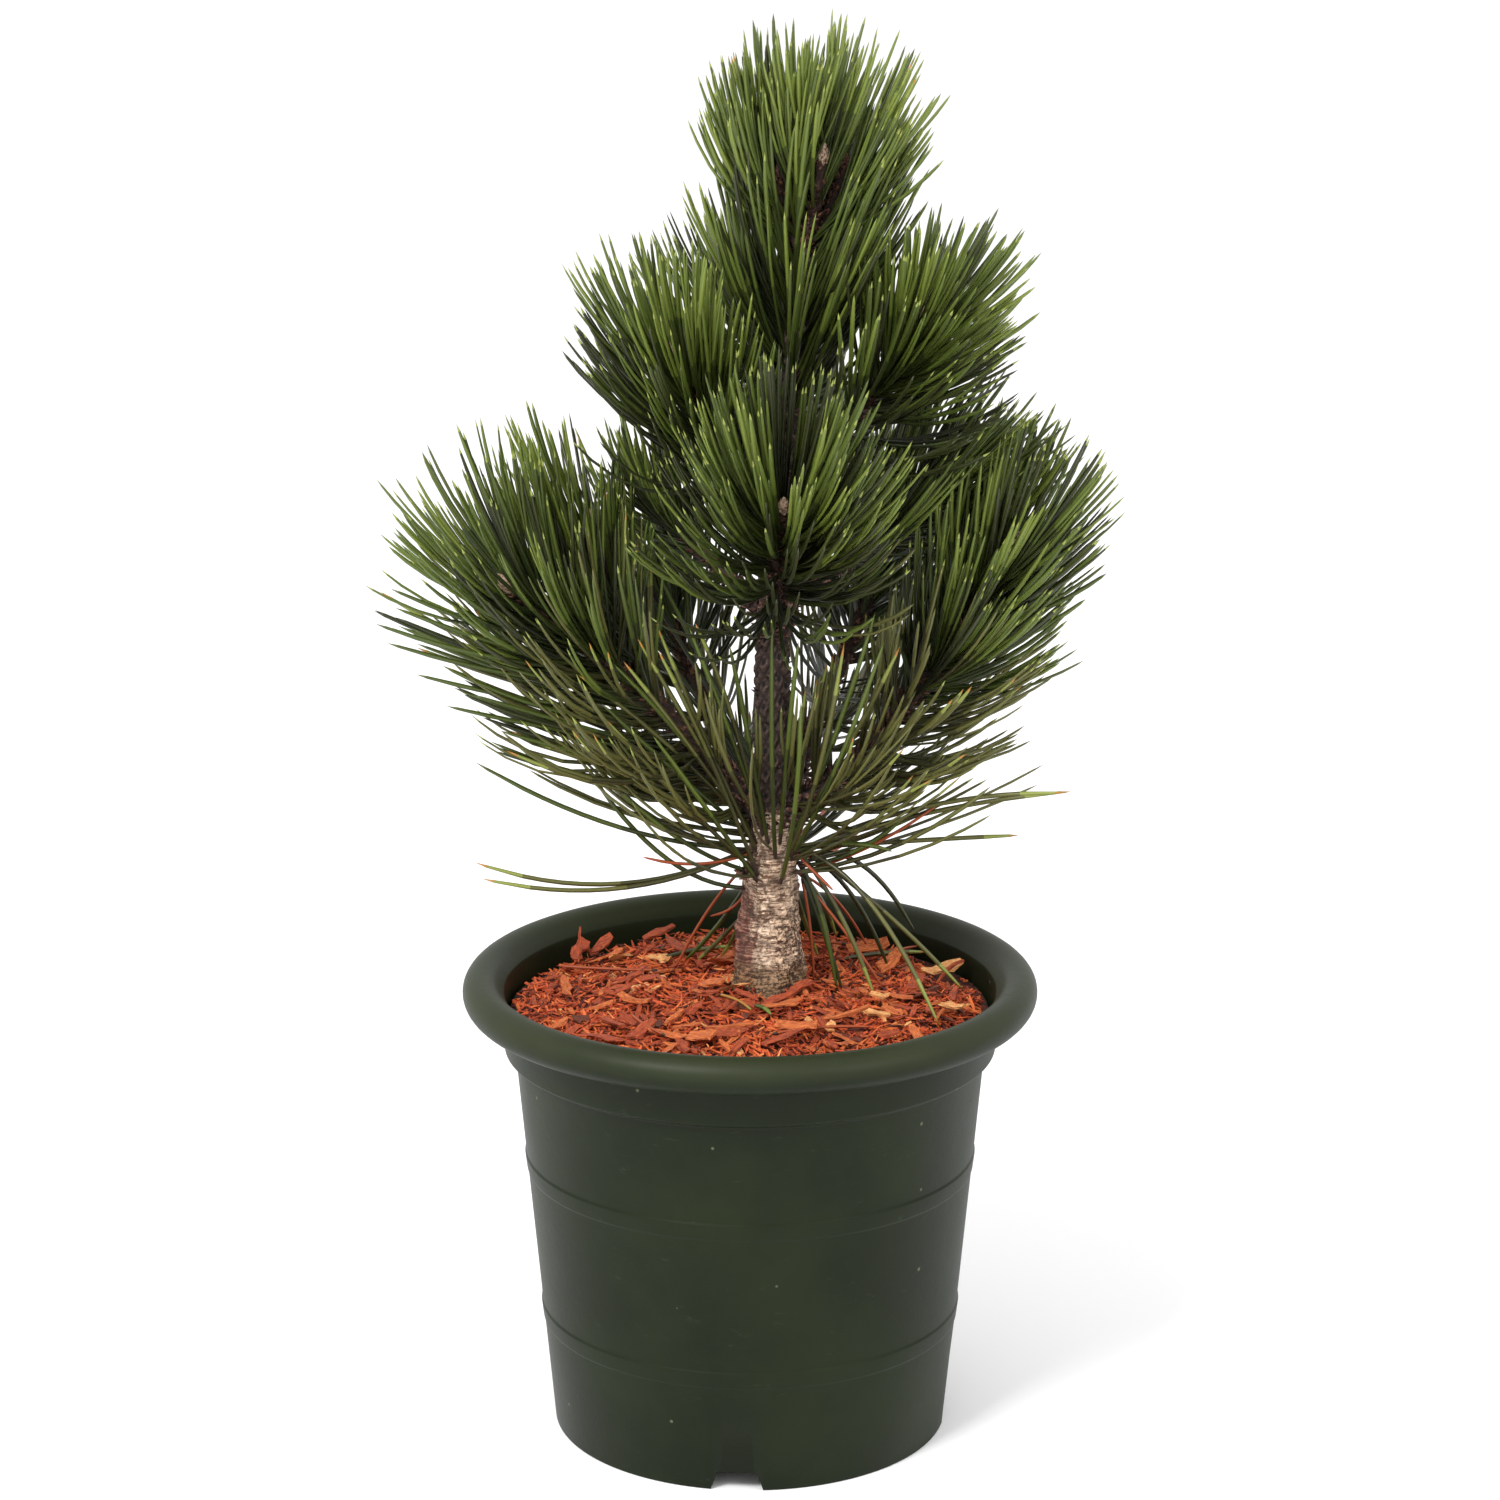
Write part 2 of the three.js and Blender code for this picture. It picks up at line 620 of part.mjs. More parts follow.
// The bare part of a branch, up to its tuft. Grow makes it fatter all over.
function boughSolid(branch, grow = 0) {
  const radiusAt = (t) => mix(branch.thick, branch.thick * BOUGH_TAPER, t / branch.bare) + grow;
  return limb(branchCurve(branch), 0, branch.bare, radiusAt, BOUGH_SIDES, 3);
}

const finishes = {
  pot: new THREE.MeshStandardMaterial({ color: 0x2c3a2a, roughness: 0.5, metalness: 0 }),
  soil: new THREE.MeshStandardMaterial({ color: 0x2b1d14, roughness: 0.95, metalness: 0 }),
  mulch: new THREE.MeshStandardMaterial({ color: 0xa8532c, roughness: 0.85, metalness: 0 }),
  oldBark: new THREE.MeshStandardMaterial({ color: 0xa79685, roughness: 0.9, metalness: 0 }),
  youngBark: new THREE.MeshStandardMaterial({ color: 0x3b2c26, roughness: 0.9, metalness: 0 }),
  needles: new THREE.MeshStandardMaterial({ color: 0x3e5a26, roughness: 0.5, metalness: 0 }),
};

const pine = new THREE.Group();

function add(name, solid, finish) {
  const mesh = new THREE.Mesh(geometryOf(largestPiece(solid)), finish);
  mesh.name = name;
  pine.add(mesh);
}

const grownTrunk = trunkSolid(GAP);
const grownBoughs = branches.map((branch) => boughSolid(branch, GAP));

add("pot", potSolid(), finishes.pot);
add("potting_mix", pottingMixSolid(), finishes.soil);
add("bark_mulch", mulchSolid().subtract(grownTrunk), finishes.mulch);
add("trunk", trunkSolid(), finishes.oldBark);
branches.forEach((branch) => {
  add("bough_" + branch.name, boughSolid(branch).subtract(grownTrunk), finishes.youngBark);
});
tufts.forEach((mass, i) => {
  const solid = tuftSolid(mass, randomFrom(101 + i));
  add(mass.name, solid.subtract(grownTrunk), finishes.needles);
});
add(leader.name, leaderSolid(randomFrom(61)).subtract(grownTrunk), finishes.needles);
const lowCut = wasm.Manifold.union([grownTrunk, ...grownBoughs]);
add(lowNeedles.name, lowNeedlesSolid(randomFrom(71)).subtract(lowCut), finishes.needles);

export default pine;
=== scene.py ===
# %% [markdown]
# # A dwarf Bosnian pine in its nursery pot
#
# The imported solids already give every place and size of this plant. This file dresses them: it makes
# the smooth pot, the loose bark mulch, the scaly stems and the thousands of paired needles that a
# close look expects, each in the place of the plain solid that it stands for. Lengths are written in
# millimetres, as a gardener would measure them, and turned into metres where a mesh is made.

# %% Load the frame
import json
import math
from collections import namedtuple
from functools import partial

import bpy
import numpy as np
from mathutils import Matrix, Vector

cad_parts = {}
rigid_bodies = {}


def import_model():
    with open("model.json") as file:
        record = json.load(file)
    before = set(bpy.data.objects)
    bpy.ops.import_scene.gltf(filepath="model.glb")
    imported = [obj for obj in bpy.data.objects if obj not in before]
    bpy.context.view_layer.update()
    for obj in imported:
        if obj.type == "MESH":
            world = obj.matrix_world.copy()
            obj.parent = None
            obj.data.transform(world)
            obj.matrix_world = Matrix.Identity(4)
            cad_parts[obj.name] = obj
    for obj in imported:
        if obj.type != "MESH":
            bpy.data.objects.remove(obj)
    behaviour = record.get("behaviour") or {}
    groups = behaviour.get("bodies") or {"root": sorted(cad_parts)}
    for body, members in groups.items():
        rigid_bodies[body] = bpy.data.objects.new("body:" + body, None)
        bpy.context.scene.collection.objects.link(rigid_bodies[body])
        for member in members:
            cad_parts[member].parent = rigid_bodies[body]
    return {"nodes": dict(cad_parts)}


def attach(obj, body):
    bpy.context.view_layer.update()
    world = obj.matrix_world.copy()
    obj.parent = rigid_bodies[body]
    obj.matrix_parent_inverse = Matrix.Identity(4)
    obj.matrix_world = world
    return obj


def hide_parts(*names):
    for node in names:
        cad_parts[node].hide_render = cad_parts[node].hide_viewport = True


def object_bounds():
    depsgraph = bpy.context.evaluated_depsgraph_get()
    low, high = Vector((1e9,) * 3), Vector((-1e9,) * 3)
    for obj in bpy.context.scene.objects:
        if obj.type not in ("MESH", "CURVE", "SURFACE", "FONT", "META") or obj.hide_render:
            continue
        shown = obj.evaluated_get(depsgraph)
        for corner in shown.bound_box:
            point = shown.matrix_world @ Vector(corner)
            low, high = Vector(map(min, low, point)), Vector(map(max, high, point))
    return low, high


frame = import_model()
cad_box = [list(corner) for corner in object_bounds()]
MM = 0.001
print("solids", len(frame["nodes"]), "box", cad_box)

# %% [markdown]
# ## The camera
#
# A product photograph is taken from some way off with a long lens, so that the pot's foot and rim are
# curved only a little. The height of the rim's ellipse against its width gives how far the camera
# looks down, and the taper of the pot from rim to foot gives how far off it stands.

# %% Set up the camera
CAMERA_DISTANCE = 1642.8
CAMERA_HEIGHT = 727.4
CAMERA_LOOKS_DOWN = 15.205
CAMERA_LENS = 103.5
SENSOR_WIDTH = 36

camera = bpy.data.objects.new("photo_view", bpy.data.cameras.new("photo_view"))
bpy.context.scene.collection.objects.link(camera)
camera.location = (0, -CAMERA_DISTANCE * MM, CAMERA_HEIGHT * MM)
camera.rotation_euler = (math.radians(90 - CAMERA_LOOKS_DOWN), 0, 0)
camera.data.lens = CAMERA_LENS
camera.data.sensor_width = SENSOR_WIDTH
bpy.context.scene.camera = camera
print("camera at", tuple(camera.location))

# %% [markdown]
# ## A bench for node trees
#
# Shaders and Geometry Nodes are both trees of nodes. One small class, the bench, adds a node of any
# type to either kind of tree. What it hands back is a wire, and adding or multiplying wires adds the
# Math nodes that do the same, so that a pattern can be written down as a sum.


# %% Wires
class Wire:
    """An output socket that takes part in sums."""

    def __init__(self, bench, socket):
        self.bench = bench
        self.socket = socket

    def beside(self, output):
        """Another output of the same node."""
        return Wire(self.bench, self.socket.node.outputs[output])

    def maths(self, operation, *others):
        values = dict(enumerate([self, *others]))
        return self.bench.node("ShaderNodeMath", {"operation": operation}, values)

    def __add__(self, other):
        return self.maths("ADD", other)

    def __mul__(self, other):
        return self.maths("MULTIPLY", other)

    def __sub__(self, other):
        return self.maths("SUBTRACT", other)

    def __rsub__(self, other):
        return self.bench.node("ShaderNodeMath", {"operation": "SUBTRACT"}, {0: other, 1: self})

    def __truediv__(self, other):
        return self.maths("DIVIDE", other)

    def __rtruediv__(self, other):
        return self.bench.node("ShaderNodeMath", {"operation": "DIVIDE"}, {0: other, 1: self})

    def __lt__(self, other):
        return self.maths("LESS_THAN", other)

    def __gt__(self, other):
        return self.maths("GREATER_THAN", other)

    __radd__ = __add__
    __rmul__ = __mul__


# %% Benches
class Bench:
    """A node tree, with one way to add a node to it."""

    def __init__(self, tree):
        self.tree = tree

    def node(self, kind, settings=None, values=None, output=0):
        """Adds a node, sets its options, feeds its sockets and hands back one of its outputs."""
        made = self.tree.nodes.new(kind)
        for name, setting in (settings or {}).items():
            setattr(made, name, setting)
        for key, value in (values or {}).items():
            self.feed(made.inputs[key], value)
        return Wire(self, made.outputs[output])

    def feed(self, socket, value):
        if isinstance(value, Wire):
            self.tree.links.new(value.socket, socket)
        else:
            socket.default_value = value

    def parts_of(self, vector):
        """The x, y and z of a vector, or the red, green and blue of a colour."""
        x = self.node("ShaderNodeSeparateXYZ", None, {0: vector})
        return x, x.beside(1), x.beside(2)

    def ease(self, value, low, high):
        """0 where the value is under low, 1 where it is over high, and a soft step between."""
        settings = {"interpolation_type": "SMOOTHSTEP"}
        return self.node("ShaderNodeMapRange", settings, {"Value": value, "From Min": low, "From Max": high})

    def noise(self, place, size, detail=3, rough=0.55):
        """Soft noise with lumps of about the given size in millimetres."""
        values = {"Vector": place, "Scale": 1 / (size * MM), "Detail": detail, "Roughness": rough}
        return self.node("ShaderNodeTexNoise", None, values)

    def cells(self, place, size, feature="F1", output=0):
        """A Voronoi pattern with cells of about the given size in millimetres."""
        values = {"Vector": place, "Scale": 1 / (size * MM)}
        return self.node("ShaderNodeTexVoronoi", {"feature": feature}, values, output)

    def stretched(self, place, stretch):
        """The place with each axis made coarser by its own factor."""
        shrink = [1 / factor for factor in stretch]
        return self.node("ShaderNodeVectorMath", {"operation": "MULTIPLY"}, {0: place, 1: shrink})

    def blend(self, share, one, other):
        """From one colour to the other."""
        return self.node("ShaderNodeMix", {"data_type": "RGBA"}, {0: share, 6: one, 7: other}, 2)


# %% Paints
def paint(red, green, blue):
    """A colour on the usual scale from 0 to 255, as the share of light that a shader wants."""
    shares = [c / 255 for c in (red, green, blue)]
    linear = [s / 12.92 if s <= 0.04045 else ((s + 0.055) / 1.055) ** 2.4 for s in shares]
    return (*linear, 1)


# %% [markdown]
# ## Finishes
#
# A finish is a material with one Principled shader. What is the same all over is set on the shader
# itself, and only colour, roughness and the bump are fed by patterns.


# %% A finish, plain or patterned
class Finish(Bench):
    """A material that is built as a tree round one Principled shader."""

    def __init__(self, name, **constants):
        self.material = bpy.data.materials.new(name)
        self.material.use_nodes = True
        super().__init__(self.material.node_tree)
        self.tree.nodes.clear()
        self.shader = self.tree.nodes.new("ShaderNodeBsdfPrincipled")
        output = self.tree.nodes.new("ShaderNodeOutputMaterial")
        self.tree.links.new(self.shader.outputs[0], output.inputs[0])
        for key, value in constants.items():
            self.wear(key.replace("_", " "), value)

    def wear(self, socket, value):
        self.feed(self.shader.inputs[socket], value)

    def place(self):
        return self.node("ShaderNodeTexCoord", output="Object")

    def own(self, name, output="Fac"):
        """What the piece's mesh holds under that name."""
        return self.node("ShaderNodeAttribute", {"attribute_name": name}, output=output)

    def relief(self, height, depth, strength=1.0):
        """Bump from a height of 0 to 1, that many millimetres deep."""
        values = {"Height": height, "Distance": depth * MM, "Strength": strength}
        self.wear("Normal", self.node("ShaderNodeBump", None, values))


def plain(name, colour, roughness, **constants):
    """A finish of one colour all over, for small things that are dealt out by the thousand."""
    finish = Finish(name, **constants)
    finish.wear("Base Color", paint(*colour))
    finish.wear("Roughness", roughness)
    return finish.material


# %% [markdown]
# ## Recipes
#
# A recipe is a Geometry Nodes tree with named inputs. It is put on a mesh as a modifier, its inputs are
# set, and the result is taken off as a plain mesh, so that no modifier stays on the piece.


# %% A recipe and how it is carried out
class Recipe(Bench):
    """A Geometry Nodes tree with a geometry, some numbers and a material coming in."""

    SOCKETS = {int: "NodeSocketInt", float: "NodeSocketFloat"}

    def __init__(self, name, **inputs):
        super().__init__(bpy.data.node_groups.new(name, "GeometryNodeTree"))
        sockets = {"Geometry": "NodeSocketGeometry"}
        sockets.update({key: self.SOCKETS.get(kind, kind) for key, kind in inputs.items()})
        for key, kind in sockets.items():
            self.tree.interface.new_socket(key, in_out="INPUT", socket_type=kind)
        self.tree.interface.new_socket("Geometry", in_out="OUTPUT", socket_type="NodeSocketGeometry")
        self.entry = self.tree.nodes.new("NodeGroupInput")

    def asked(self, name):
        return Wire(self, self.entry.outputs[name])

    def step(self, kind, geometry, settings=None, **values):
        """A node that takes a geometry in its first socket and hands one on."""
        sockets = {key.replace("_", " "): value for key, value in values.items()}
        return self.node(kind, settings, {0: geometry, **sockets})

    def written(self, name, kind="FLOAT"):
        """An attribute of the geometry, by its name."""
        return self.node("GeometryNodeInputNamedAttribute", {"data_type": kind}, {"Name": name})

    def write(self, geometry, name, value, kind="FLOAT", domain="POINT"):
        settings = {"data_type": kind, "domain": domain}
        return self.step("GeometryNodeStoreNamedAttribute", geometry, settings, Name=name, Value=value)

    def random(self, low, high, seed, kind="FLOAT"):
        output = {"FLOAT_VECTOR": 0, "FLOAT": 1, "INT": 2}[kind]
        first = {"FLOAT_VECTOR": 0, "FLOAT": 2, "INT": 4}[kind]
        values = {first: low, first + 1: high, "Seed": seed}
        return self.node("FunctionNodeRandomValue", {"data_type": kind}, values, output)

    def vector(self, x, y, z):
        return self.node("ShaderNodeCombineXYZ", None, {0: x, 1: y, 2: z})

    def serve(self, geometry):
        """Ends the tree: no instances are left, and every face has a material."""
        whole = self.step("GeometryNodeRealizeInstances", geometry)
        finished = self.step("GeometryNodeSetMaterial", whole, Material=self.asked("Material"))
        self.end(finished)

    def end(self, geometry):
        exit_node = self.tree.nodes.new("NodeGroupOutput")
        self.feed(exit_node.inputs[0], geometry)

    def carry_out(self, name, start, **answers):
        """Runs the recipe on a mesh and returns the result as an object with a plain mesh."""
        raw = bpy.data.objects.new(name, start)
        bpy.context.scene.collection.objects.link(raw)
        modifier = raw.modifiers.new("recipe", "NODES")
        modifier.node_group = self.tree
        for socket in self.tree.interface.items_tree:
            if socket.in_out == "INPUT" and socket.name in answers:
                modifier[socket.identifier] = answers[socket.name]
        evaluated = raw.evaluated_get(bpy.context.evaluated_depsgraph_get())
        mesh = bpy.data.meshes.new_from_object(evaluated)
        raw.modifiers.remove(modifier)
        raw.data = mesh
        mesh.name = name
        print(name, len(mesh.vertices), "points", len(mesh.polygons), "faces")
        return raw


# %% Pieces from arrays
UP = np.array([0.0, 0.0, 1.0])


def mesh_of(name, points, faces=(), edges=(), **attributes):
    """A mesh from points in millimetres, its faces grouped by corners, with numbers for its points."""
    mesh = bpy.data.meshes.new(name)
    mesh.vertices.add(len(points))
    mesh.vertices.foreach_set("co", (np.asarray(points, float) * MM).ravel())
    if len(edges):
        mesh.edges.add(len(edges))
        mesh.edges.foreach_set("vertices", np.asarray(edges).ravel())
    if len(faces):
        loops = np.concatenate([group.ravel() for group in faces])
        mesh.loops.add(len(loops))
        mesh.loops.foreach_set("vertex_index", loops)
        corners = np.concatenate([np.full(len(group), group.shape[1]) for group in faces])
        mesh.polygons.add(len(corners))
        starts = np.concatenate([[0], np.cumsum(corners)[:-1]])
        mesh.polygons.foreach_set("loop_start", starts)
        mesh.polygons.foreach_set("use_smooth", np.ones(len(corners), bool))
    for key, values in attributes.items():
        values = np.asarray(values, float)
        kind, field = ("FLOAT", "value") if values.ndim == 1 else ("FLOAT_VECTOR", "vector")
        mesh.attributes.new(key, kind, "POINT").data.foreach_set(field, values.ravel())
    mesh.update(calc_edges=True)
    return mesh


def piece(name, mesh, *finishes):
    """An object that shows the mesh in those finishes."""
    shown = bpy.data.objects.new(name, mesh)
    bpy.context.scene.collection.objects.link(shown)
    for finish in finishes:
        mesh.materials.append(finish)
    return shown


# %% Sums that come up often
def mix(one, other, share):
    return one + (other - one) * share


def unit(vectors):
    vectors = np.asarray(vectors, float)
    return vectors / np.linalg.norm(vectors, axis=-1, keepdims=True)


def heading_of(degrees):
    """The level direction of a plan angle: 0 is right, 90 is back."""
    turn = np.radians(degrees)
    return np.stack([np.cos(turn), np.sin(turn), np.zeros_like(turn)], axis=-1)


# %% [markdown]
# ## The pot
#
# A nursery pot is moulded in one shot: a thin wall that widens upwards, two shallow bands, a collar
# and a fat rolled rim to lift it by. All of it is one outline turned about the axis. A Spin or Screw
# modifier would do, but sweeping the outline round a circle in Geometry Nodes keeps the number of
# sides and the size of the drain notches as named inputs. The notches need no cutter: the points of
# the foot that fall inside a notch are lifted to its top. The drain holes in the floor's channel are
# cut by a ring of round pegs with the Mesh Boolean node.

# %% Sizes of the pot
GAP = 0.3
WALL = 2.2
FOOT_RADIUS = 79.7
BODY_TOP_RADIUS = 94.2
BODY_TOP = 157.3
COLLAR_RADIUS = 98.5
COLLAR_FOOT = 159
COLLAR_WALL = 2
COLLAR_LEAN = 1.2
ROLL_RADIUS = 107.6
ROLL_TUBE = 7.4
ROLL_HEIGHT = 182.8
ROLL_FROM, ROLL_TO = -140, 150
ROLL_POINTS = 27
BAND_FEET = [44.5, 108.5]
BAND_HEIGHT = 7.8
BAND_PROUD = 0.5
FLOOR_LIFT = 8
PAD_RADIUS = 58
PAD_SLOPE = 5
NOTCHES = 4
NOTCH_TURN = -3.2
NOTCH_WIDTH = 17.6
NOTCH_HEIGHT = 7.7
DRAINS = 8
DRAIN_RADIUS = 4.5
CHANNEL_RADIUS = 70


# %% The pot's outline
def wall_radius(z):
    return mix(FOOT_RADIUS, BODY_TOP_RADIUS, z / BODY_TOP)


def pot_outline():
    """Radius, height and rounding of each corner, from the middle of the underside round to the floor."""
    outline = [
        (0, 0, 0),
        (PAD_RADIUS, 0, 1),
        (PAD_RADIUS + PAD_SLOPE, FLOOR_LIFT, 1.5),
        (FOOT_RADIUS - WALL - 2 * GAP, FLOOR_LIFT, 1.5),
        (FOOT_RADIUS - WALL - GAP, 0, 0.5),
        (FOOT_RADIUS, 0, 0.8),
    ]
    for foot in BAND_FEET:
        top = foot + BAND_HEIGHT
        outline += [
            (wall_radius(foot), foot, 0.8),
            (wall_radius(foot) + BAND_PROUD, foot + 2 * BAND_PROUD, 0.8),
            (wall_radius(top) + BAND_PROUD, top - 2 * BAND_PROUD, 0.8),
            (wall_radius(top), top, 0.8),
        ]
    outline += [
        (BODY_TOP_RADIUS, BODY_TOP, 2),
        (COLLAR_RADIUS, COLLAR_FOOT, 1.6),
        (COLLAR_RADIUS + COLLAR_LEAN, ROLL_HEIGHT - ROLL_TUBE, 2),
    ]
    for turn in np.radians(np.linspace(ROLL_FROM, ROLL_TO, ROLL_POINTS)):
        rim = (ROLL_RADIUS + ROLL_TUBE * math.cos(turn), ROLL_HEIGHT + ROLL_TUBE * math.sin(turn))
        outline.append((*rim, 0))
    shelf = FLOOR_LIFT + WALL
    outline += [
        (COLLAR_RADIUS, ROLL_HEIGHT, 1.5),
        (COLLAR_RADIUS - COLLAR_WALL, COLLAR_FOOT + COLLAR_WALL, 1.5),
        (BODY_TOP_RADIUS - WALL, BODY_TOP - WALL, 2),
        (wall_radius(shelf) - WALL, shelf, 2),
        (PAD_RADIUS + PAD_SLOPE - 1, shelf, 2),
        (PAD_RADIUS - 1, WALL, 2),
        (0, WALL, 0),
    ]
    return np.array(outline, float)


outline = pot_outline()
print("outline points", len(outline), "widest", outline[:, 0].max(), "highest", outline[:, 1].max())


# %% Notches and drain holes
PEG_SIDES = 20


def notched(recipe, shell):
    """The shell with its foot lifted at evenly spaced notches."""
    x, y, z = recipe.parts_of(recipe.node("GeometryNodeInputPosition"))
    out = (x * x + y * y).maths("SQRT")
    apart = 2 * math.pi / recipe.asked("Notches")
    turn = y.maths("ARCTAN2", x) - recipe.asked("Notch_Turn") + math.tau
    off_middle = (((turn / apart + 0.5).maths("FRACT") - 0.5) * apart * out).maths("ABSOLUTE")
    in_notch = off_middle < recipe.asked("Notch_Width") / 2
    at_foot = (out > recipe.asked("Foot_Radius") - 3 * WALL * MM) * (z < recipe.asked("Notch_Height"))
    lifted = recipe.vector(x, y, recipe.asked("Notch_Height"))
    return recipe.step("GeometryNodeSetPosition", shell, Selection=in_notch * at_foot, Position=lifted)


def drained(recipe, shell):
    """The shell with a ring of round holes through its floor, none of them in line with a notch."""
    ring_of_pegs = {"Vertices": recipe.asked("Drains"), "Radius": recipe.asked("Channel_Radius")}
    spots = recipe.node("GeometryNodeMeshCircle", None, ring_of_pegs)
    peg_sizes = {"Vertices": PEG_SIDES, "Radius": recipe.asked("Drain_Radius"), "Depth": 4 * FLOOR_LIFT * MM}
    peg = recipe.node("GeometryNodeMeshCylinder", None, peg_sizes)
    pegs = recipe.step("GeometryNodeInstanceOnPoints", spots, Instance=peg)
    whole = recipe.step("GeometryNodeRealizeInstances", pegs)
    between = recipe.asked("Notch_Turn") + math.pi / recipe.asked("Drains")
    turned_pegs = recipe.step("GeometryNodeTransform", whole, Rotation=recipe.vector(0, 0, between))
    settings = {"operation": "DIFFERENCE", "solver": "EXACT"}
    return recipe.node("GeometryNodeMeshBoolean", settings, {0: shell, 1: turned_pegs})


# %% The turning recipe
CORNER_STEPS = 4
SEAM = 0.02


def turning_recipe():
    """Sweeps an outline round the axis, then opens the notches and the drain holes."""
    recipe = Recipe(
        "turned_pot", Sides=int, Sweep_Radius=float, Notches=int, Notch_Turn=float, Notch_Width=float,
        Notch_Height=float, Foot_Radius=float, Drains=int, Drain_Radius=float, Channel_Radius=float,
        Material="NodeSocketMaterial",
    )
    line = recipe.step("GeometryNodeMeshToCurve", recipe.asked("Geometry"))
    rounding = {"Radius": recipe.written("rounding"), "Count": CORNER_STEPS, "Limit Radius": True}
    fillet = recipe.node("GeometryNodeFilletCurve", {"mode": "POLY"}, {0: line, **rounding})
    ring_sizes = {"Resolution": recipe.asked("Sides"), "Radius": recipe.asked("Sweep_Radius")}
    ring = recipe.node("GeometryNodeCurvePrimitiveCircle", {"mode": "RADIUS"}, ring_sizes)
    swept = recipe.step("GeometryNodeCurveToMesh", ring, Profile_Curve=fillet)
    outwards = recipe.step("GeometryNodeFlipFaces", swept)
    closed = recipe.step("GeometryNodeMergeByDistance", outwards, Distance=SEAM * MM)
    opened = drained(recipe, notched(recipe, closed))
    recipe.serve(recipe.step("GeometryNodeSetShadeSmooth", opened, {"domain": "FACE"}))
    return recipe


# %% [markdown]
# ### Matte green plastic
#
# The plastic is dyed through, a very dark green that looks slightly greyed because its satin skin
# scatters some light. Up close it is never even: there is a fine orange-peel grain, cloudy marks where
# the melt flowed, rubbed patches, pale splashes, and a lighter band on top of the rim that is partly a
# film of dust and partly a painted sheen. Each is a noise of its own size, and the rubs also change the
# roughness, which is what makes them show.


# %% The plastic's finish
def pot_plastic():
    finish = Finish("pot_plastic", IOR=1.46, Specular_IOR_Level=0.16)
    place = finish.place()
    cloud = finish.noise(place, 60, 4)
    colour = finish.blend(finish.ease(cloud, 0.35, 0.7), paint(18, 25, 9), paint(26, 34, 14))
    rub_place = finish.stretched(place, (1, 1, 0.35))
    rub = finish.ease(finish.noise(rub_place, 9, 6, 0.7), 0.6, 0.78)
    colour = finish.blend(rub * 0.5, colour, paint(48, 60, 46))
    speck = finish.ease(1 - finish.cells(place, 14), 0.93, 0.965)
    chosen = finish.parts_of(finish.cells(place, 14, output="Color"))[0]
    colour = finish.blend(speck * (chosen > 0.72) * 0.5, colour, paint(120, 122, 96))
    height = finish.parts_of(place)[2]
    # Dust and painted sheen: the upper half of the roll, above 179 mm, is made lighter and greyer.
    dust_and_sheen = finish.ease(height, 179 * MM, 187 * MM) * (0.35 + cloud * 0.9)
    colour = finish.blend(dust_and_sheen, colour, paint(46, 51, 33))
    grain = finish.noise(place, 0.7, 2)
    finish.wear("Base Color", colour)
    finish.wear("Roughness", 0.46 + (grain - 0.5) * 0.12 + rub * 0.14 + (cloud - 0.5) * 0.2)
    finish.relief(grain * 0.5 + finish.noise(place, 5, 4) * 0.9, 0.25, 0.35)
    return finish.material


# %% Turn the pot
POT_SIDES = 192
SWEEP_RADIUS = 50
FRONT_TURN = -90


def make_pot():
    spots = [(radius - SWEEP_RADIUS, -height, 0) for radius, height, _ in outline]
    joins = [(i, i + 1) for i in range(len(spots) - 1)]
    start = mesh_of("pot_outline", spots, edges=joins, rounding=outline[:, 2] * MM)
    return turning_recipe().carry_out(
        "pot_shell", start, Sides=POT_SIDES, Sweep_Radius=SWEEP_RADIUS * MM, Notches=NOTCHES,
        Notch_Turn=math.radians(NOTCH_TURN + FRONT_TURN), Notch_Width=NOTCH_WIDTH * MM,
        Notch_Height=NOTCH_HEIGHT * MM, Foot_Radius=FOOT_RADIUS * MM, Drains=DRAINS,
        Drain_Radius=DRAIN_RADIUS * MM, Channel_Radius=CHANNEL_RADIUS * MM, Material=pot_plastic(),
    )


pot = make_pot()
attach(pot, "root")
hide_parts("pot")
corners = np.array([v.co for v in pot.data.vertices])
print("pot from", corners.min(0), "to", corners.max(0))

# %% [markdown]
# ## Potting mix and mulch
#
# The pot is filled with dark potting mix, which shows only through the drain notches, so its solid stays
# and gets a crumbly finish. On top lies a layer of shredded bark. A bump on a flat disc would never
# look loose, so a low bed carries several thousand real splinters: a few shapes are modelled once,
# scattered over the bed by Geometry Nodes, and turned, tilted, scaled and coloured one by one.


# %% The potting mix's finish
def potting_mix():
    finish = Finish("potting_mix", Roughness=0.95)
    place = finish.place()
    crumbs = finish.noise(place, 3, 5, 0.7)
    colour = finish.blend(finish.ease(crumbs, 0.35, 0.7), paint(24, 17, 12), paint(74, 52, 36))
    finish.wear("Base Color", colour)
    finish.relief(crumbs, 1.5)
    return finish.material


mix_finishes = frame["nodes"]["potting_mix"].data.materials
mix_finishes.clear()
mix_finishes.append(potting_mix())
print("potting mix wears", mix_finishes[0].name)

# %% Height of the mulch
SOIL_TOP = 171.7
MULCH_EDGE = 175
MULCH_MIDDLE = 181
MULCH_RADIUS = 96.6


def mulch_height(r, turn):
    broad = 0.9 * np.sin(3 * turn + r / 9)
    fine = 0.7 * np.sin(7 * turn - r / 5) + 0.6 * np.cos(r / 4 + turn)
    return mix(MULCH_MIDDLE, MULCH_EDGE, (r / MULCH_RADIUS) ** 2) + broad + fine


# %% The bed under the chips
BED_INSET = 0.4
BED_SINK = 2.2
BED_RINGS, BED_SIDES = 40, 144


def grid_faces(rows, columns):
    """Faces between rows of points that each close on themselves."""
    row, column = np.meshgrid(np.arange(rows - 1), np.arange(columns), indexing="ij")
    here = (row * columns + column).ravel()
    ahead = (row * columns + (column + 1) % columns).ravel()
    return np.stack([here, ahead, ahead + columns, here + columns], axis=1)


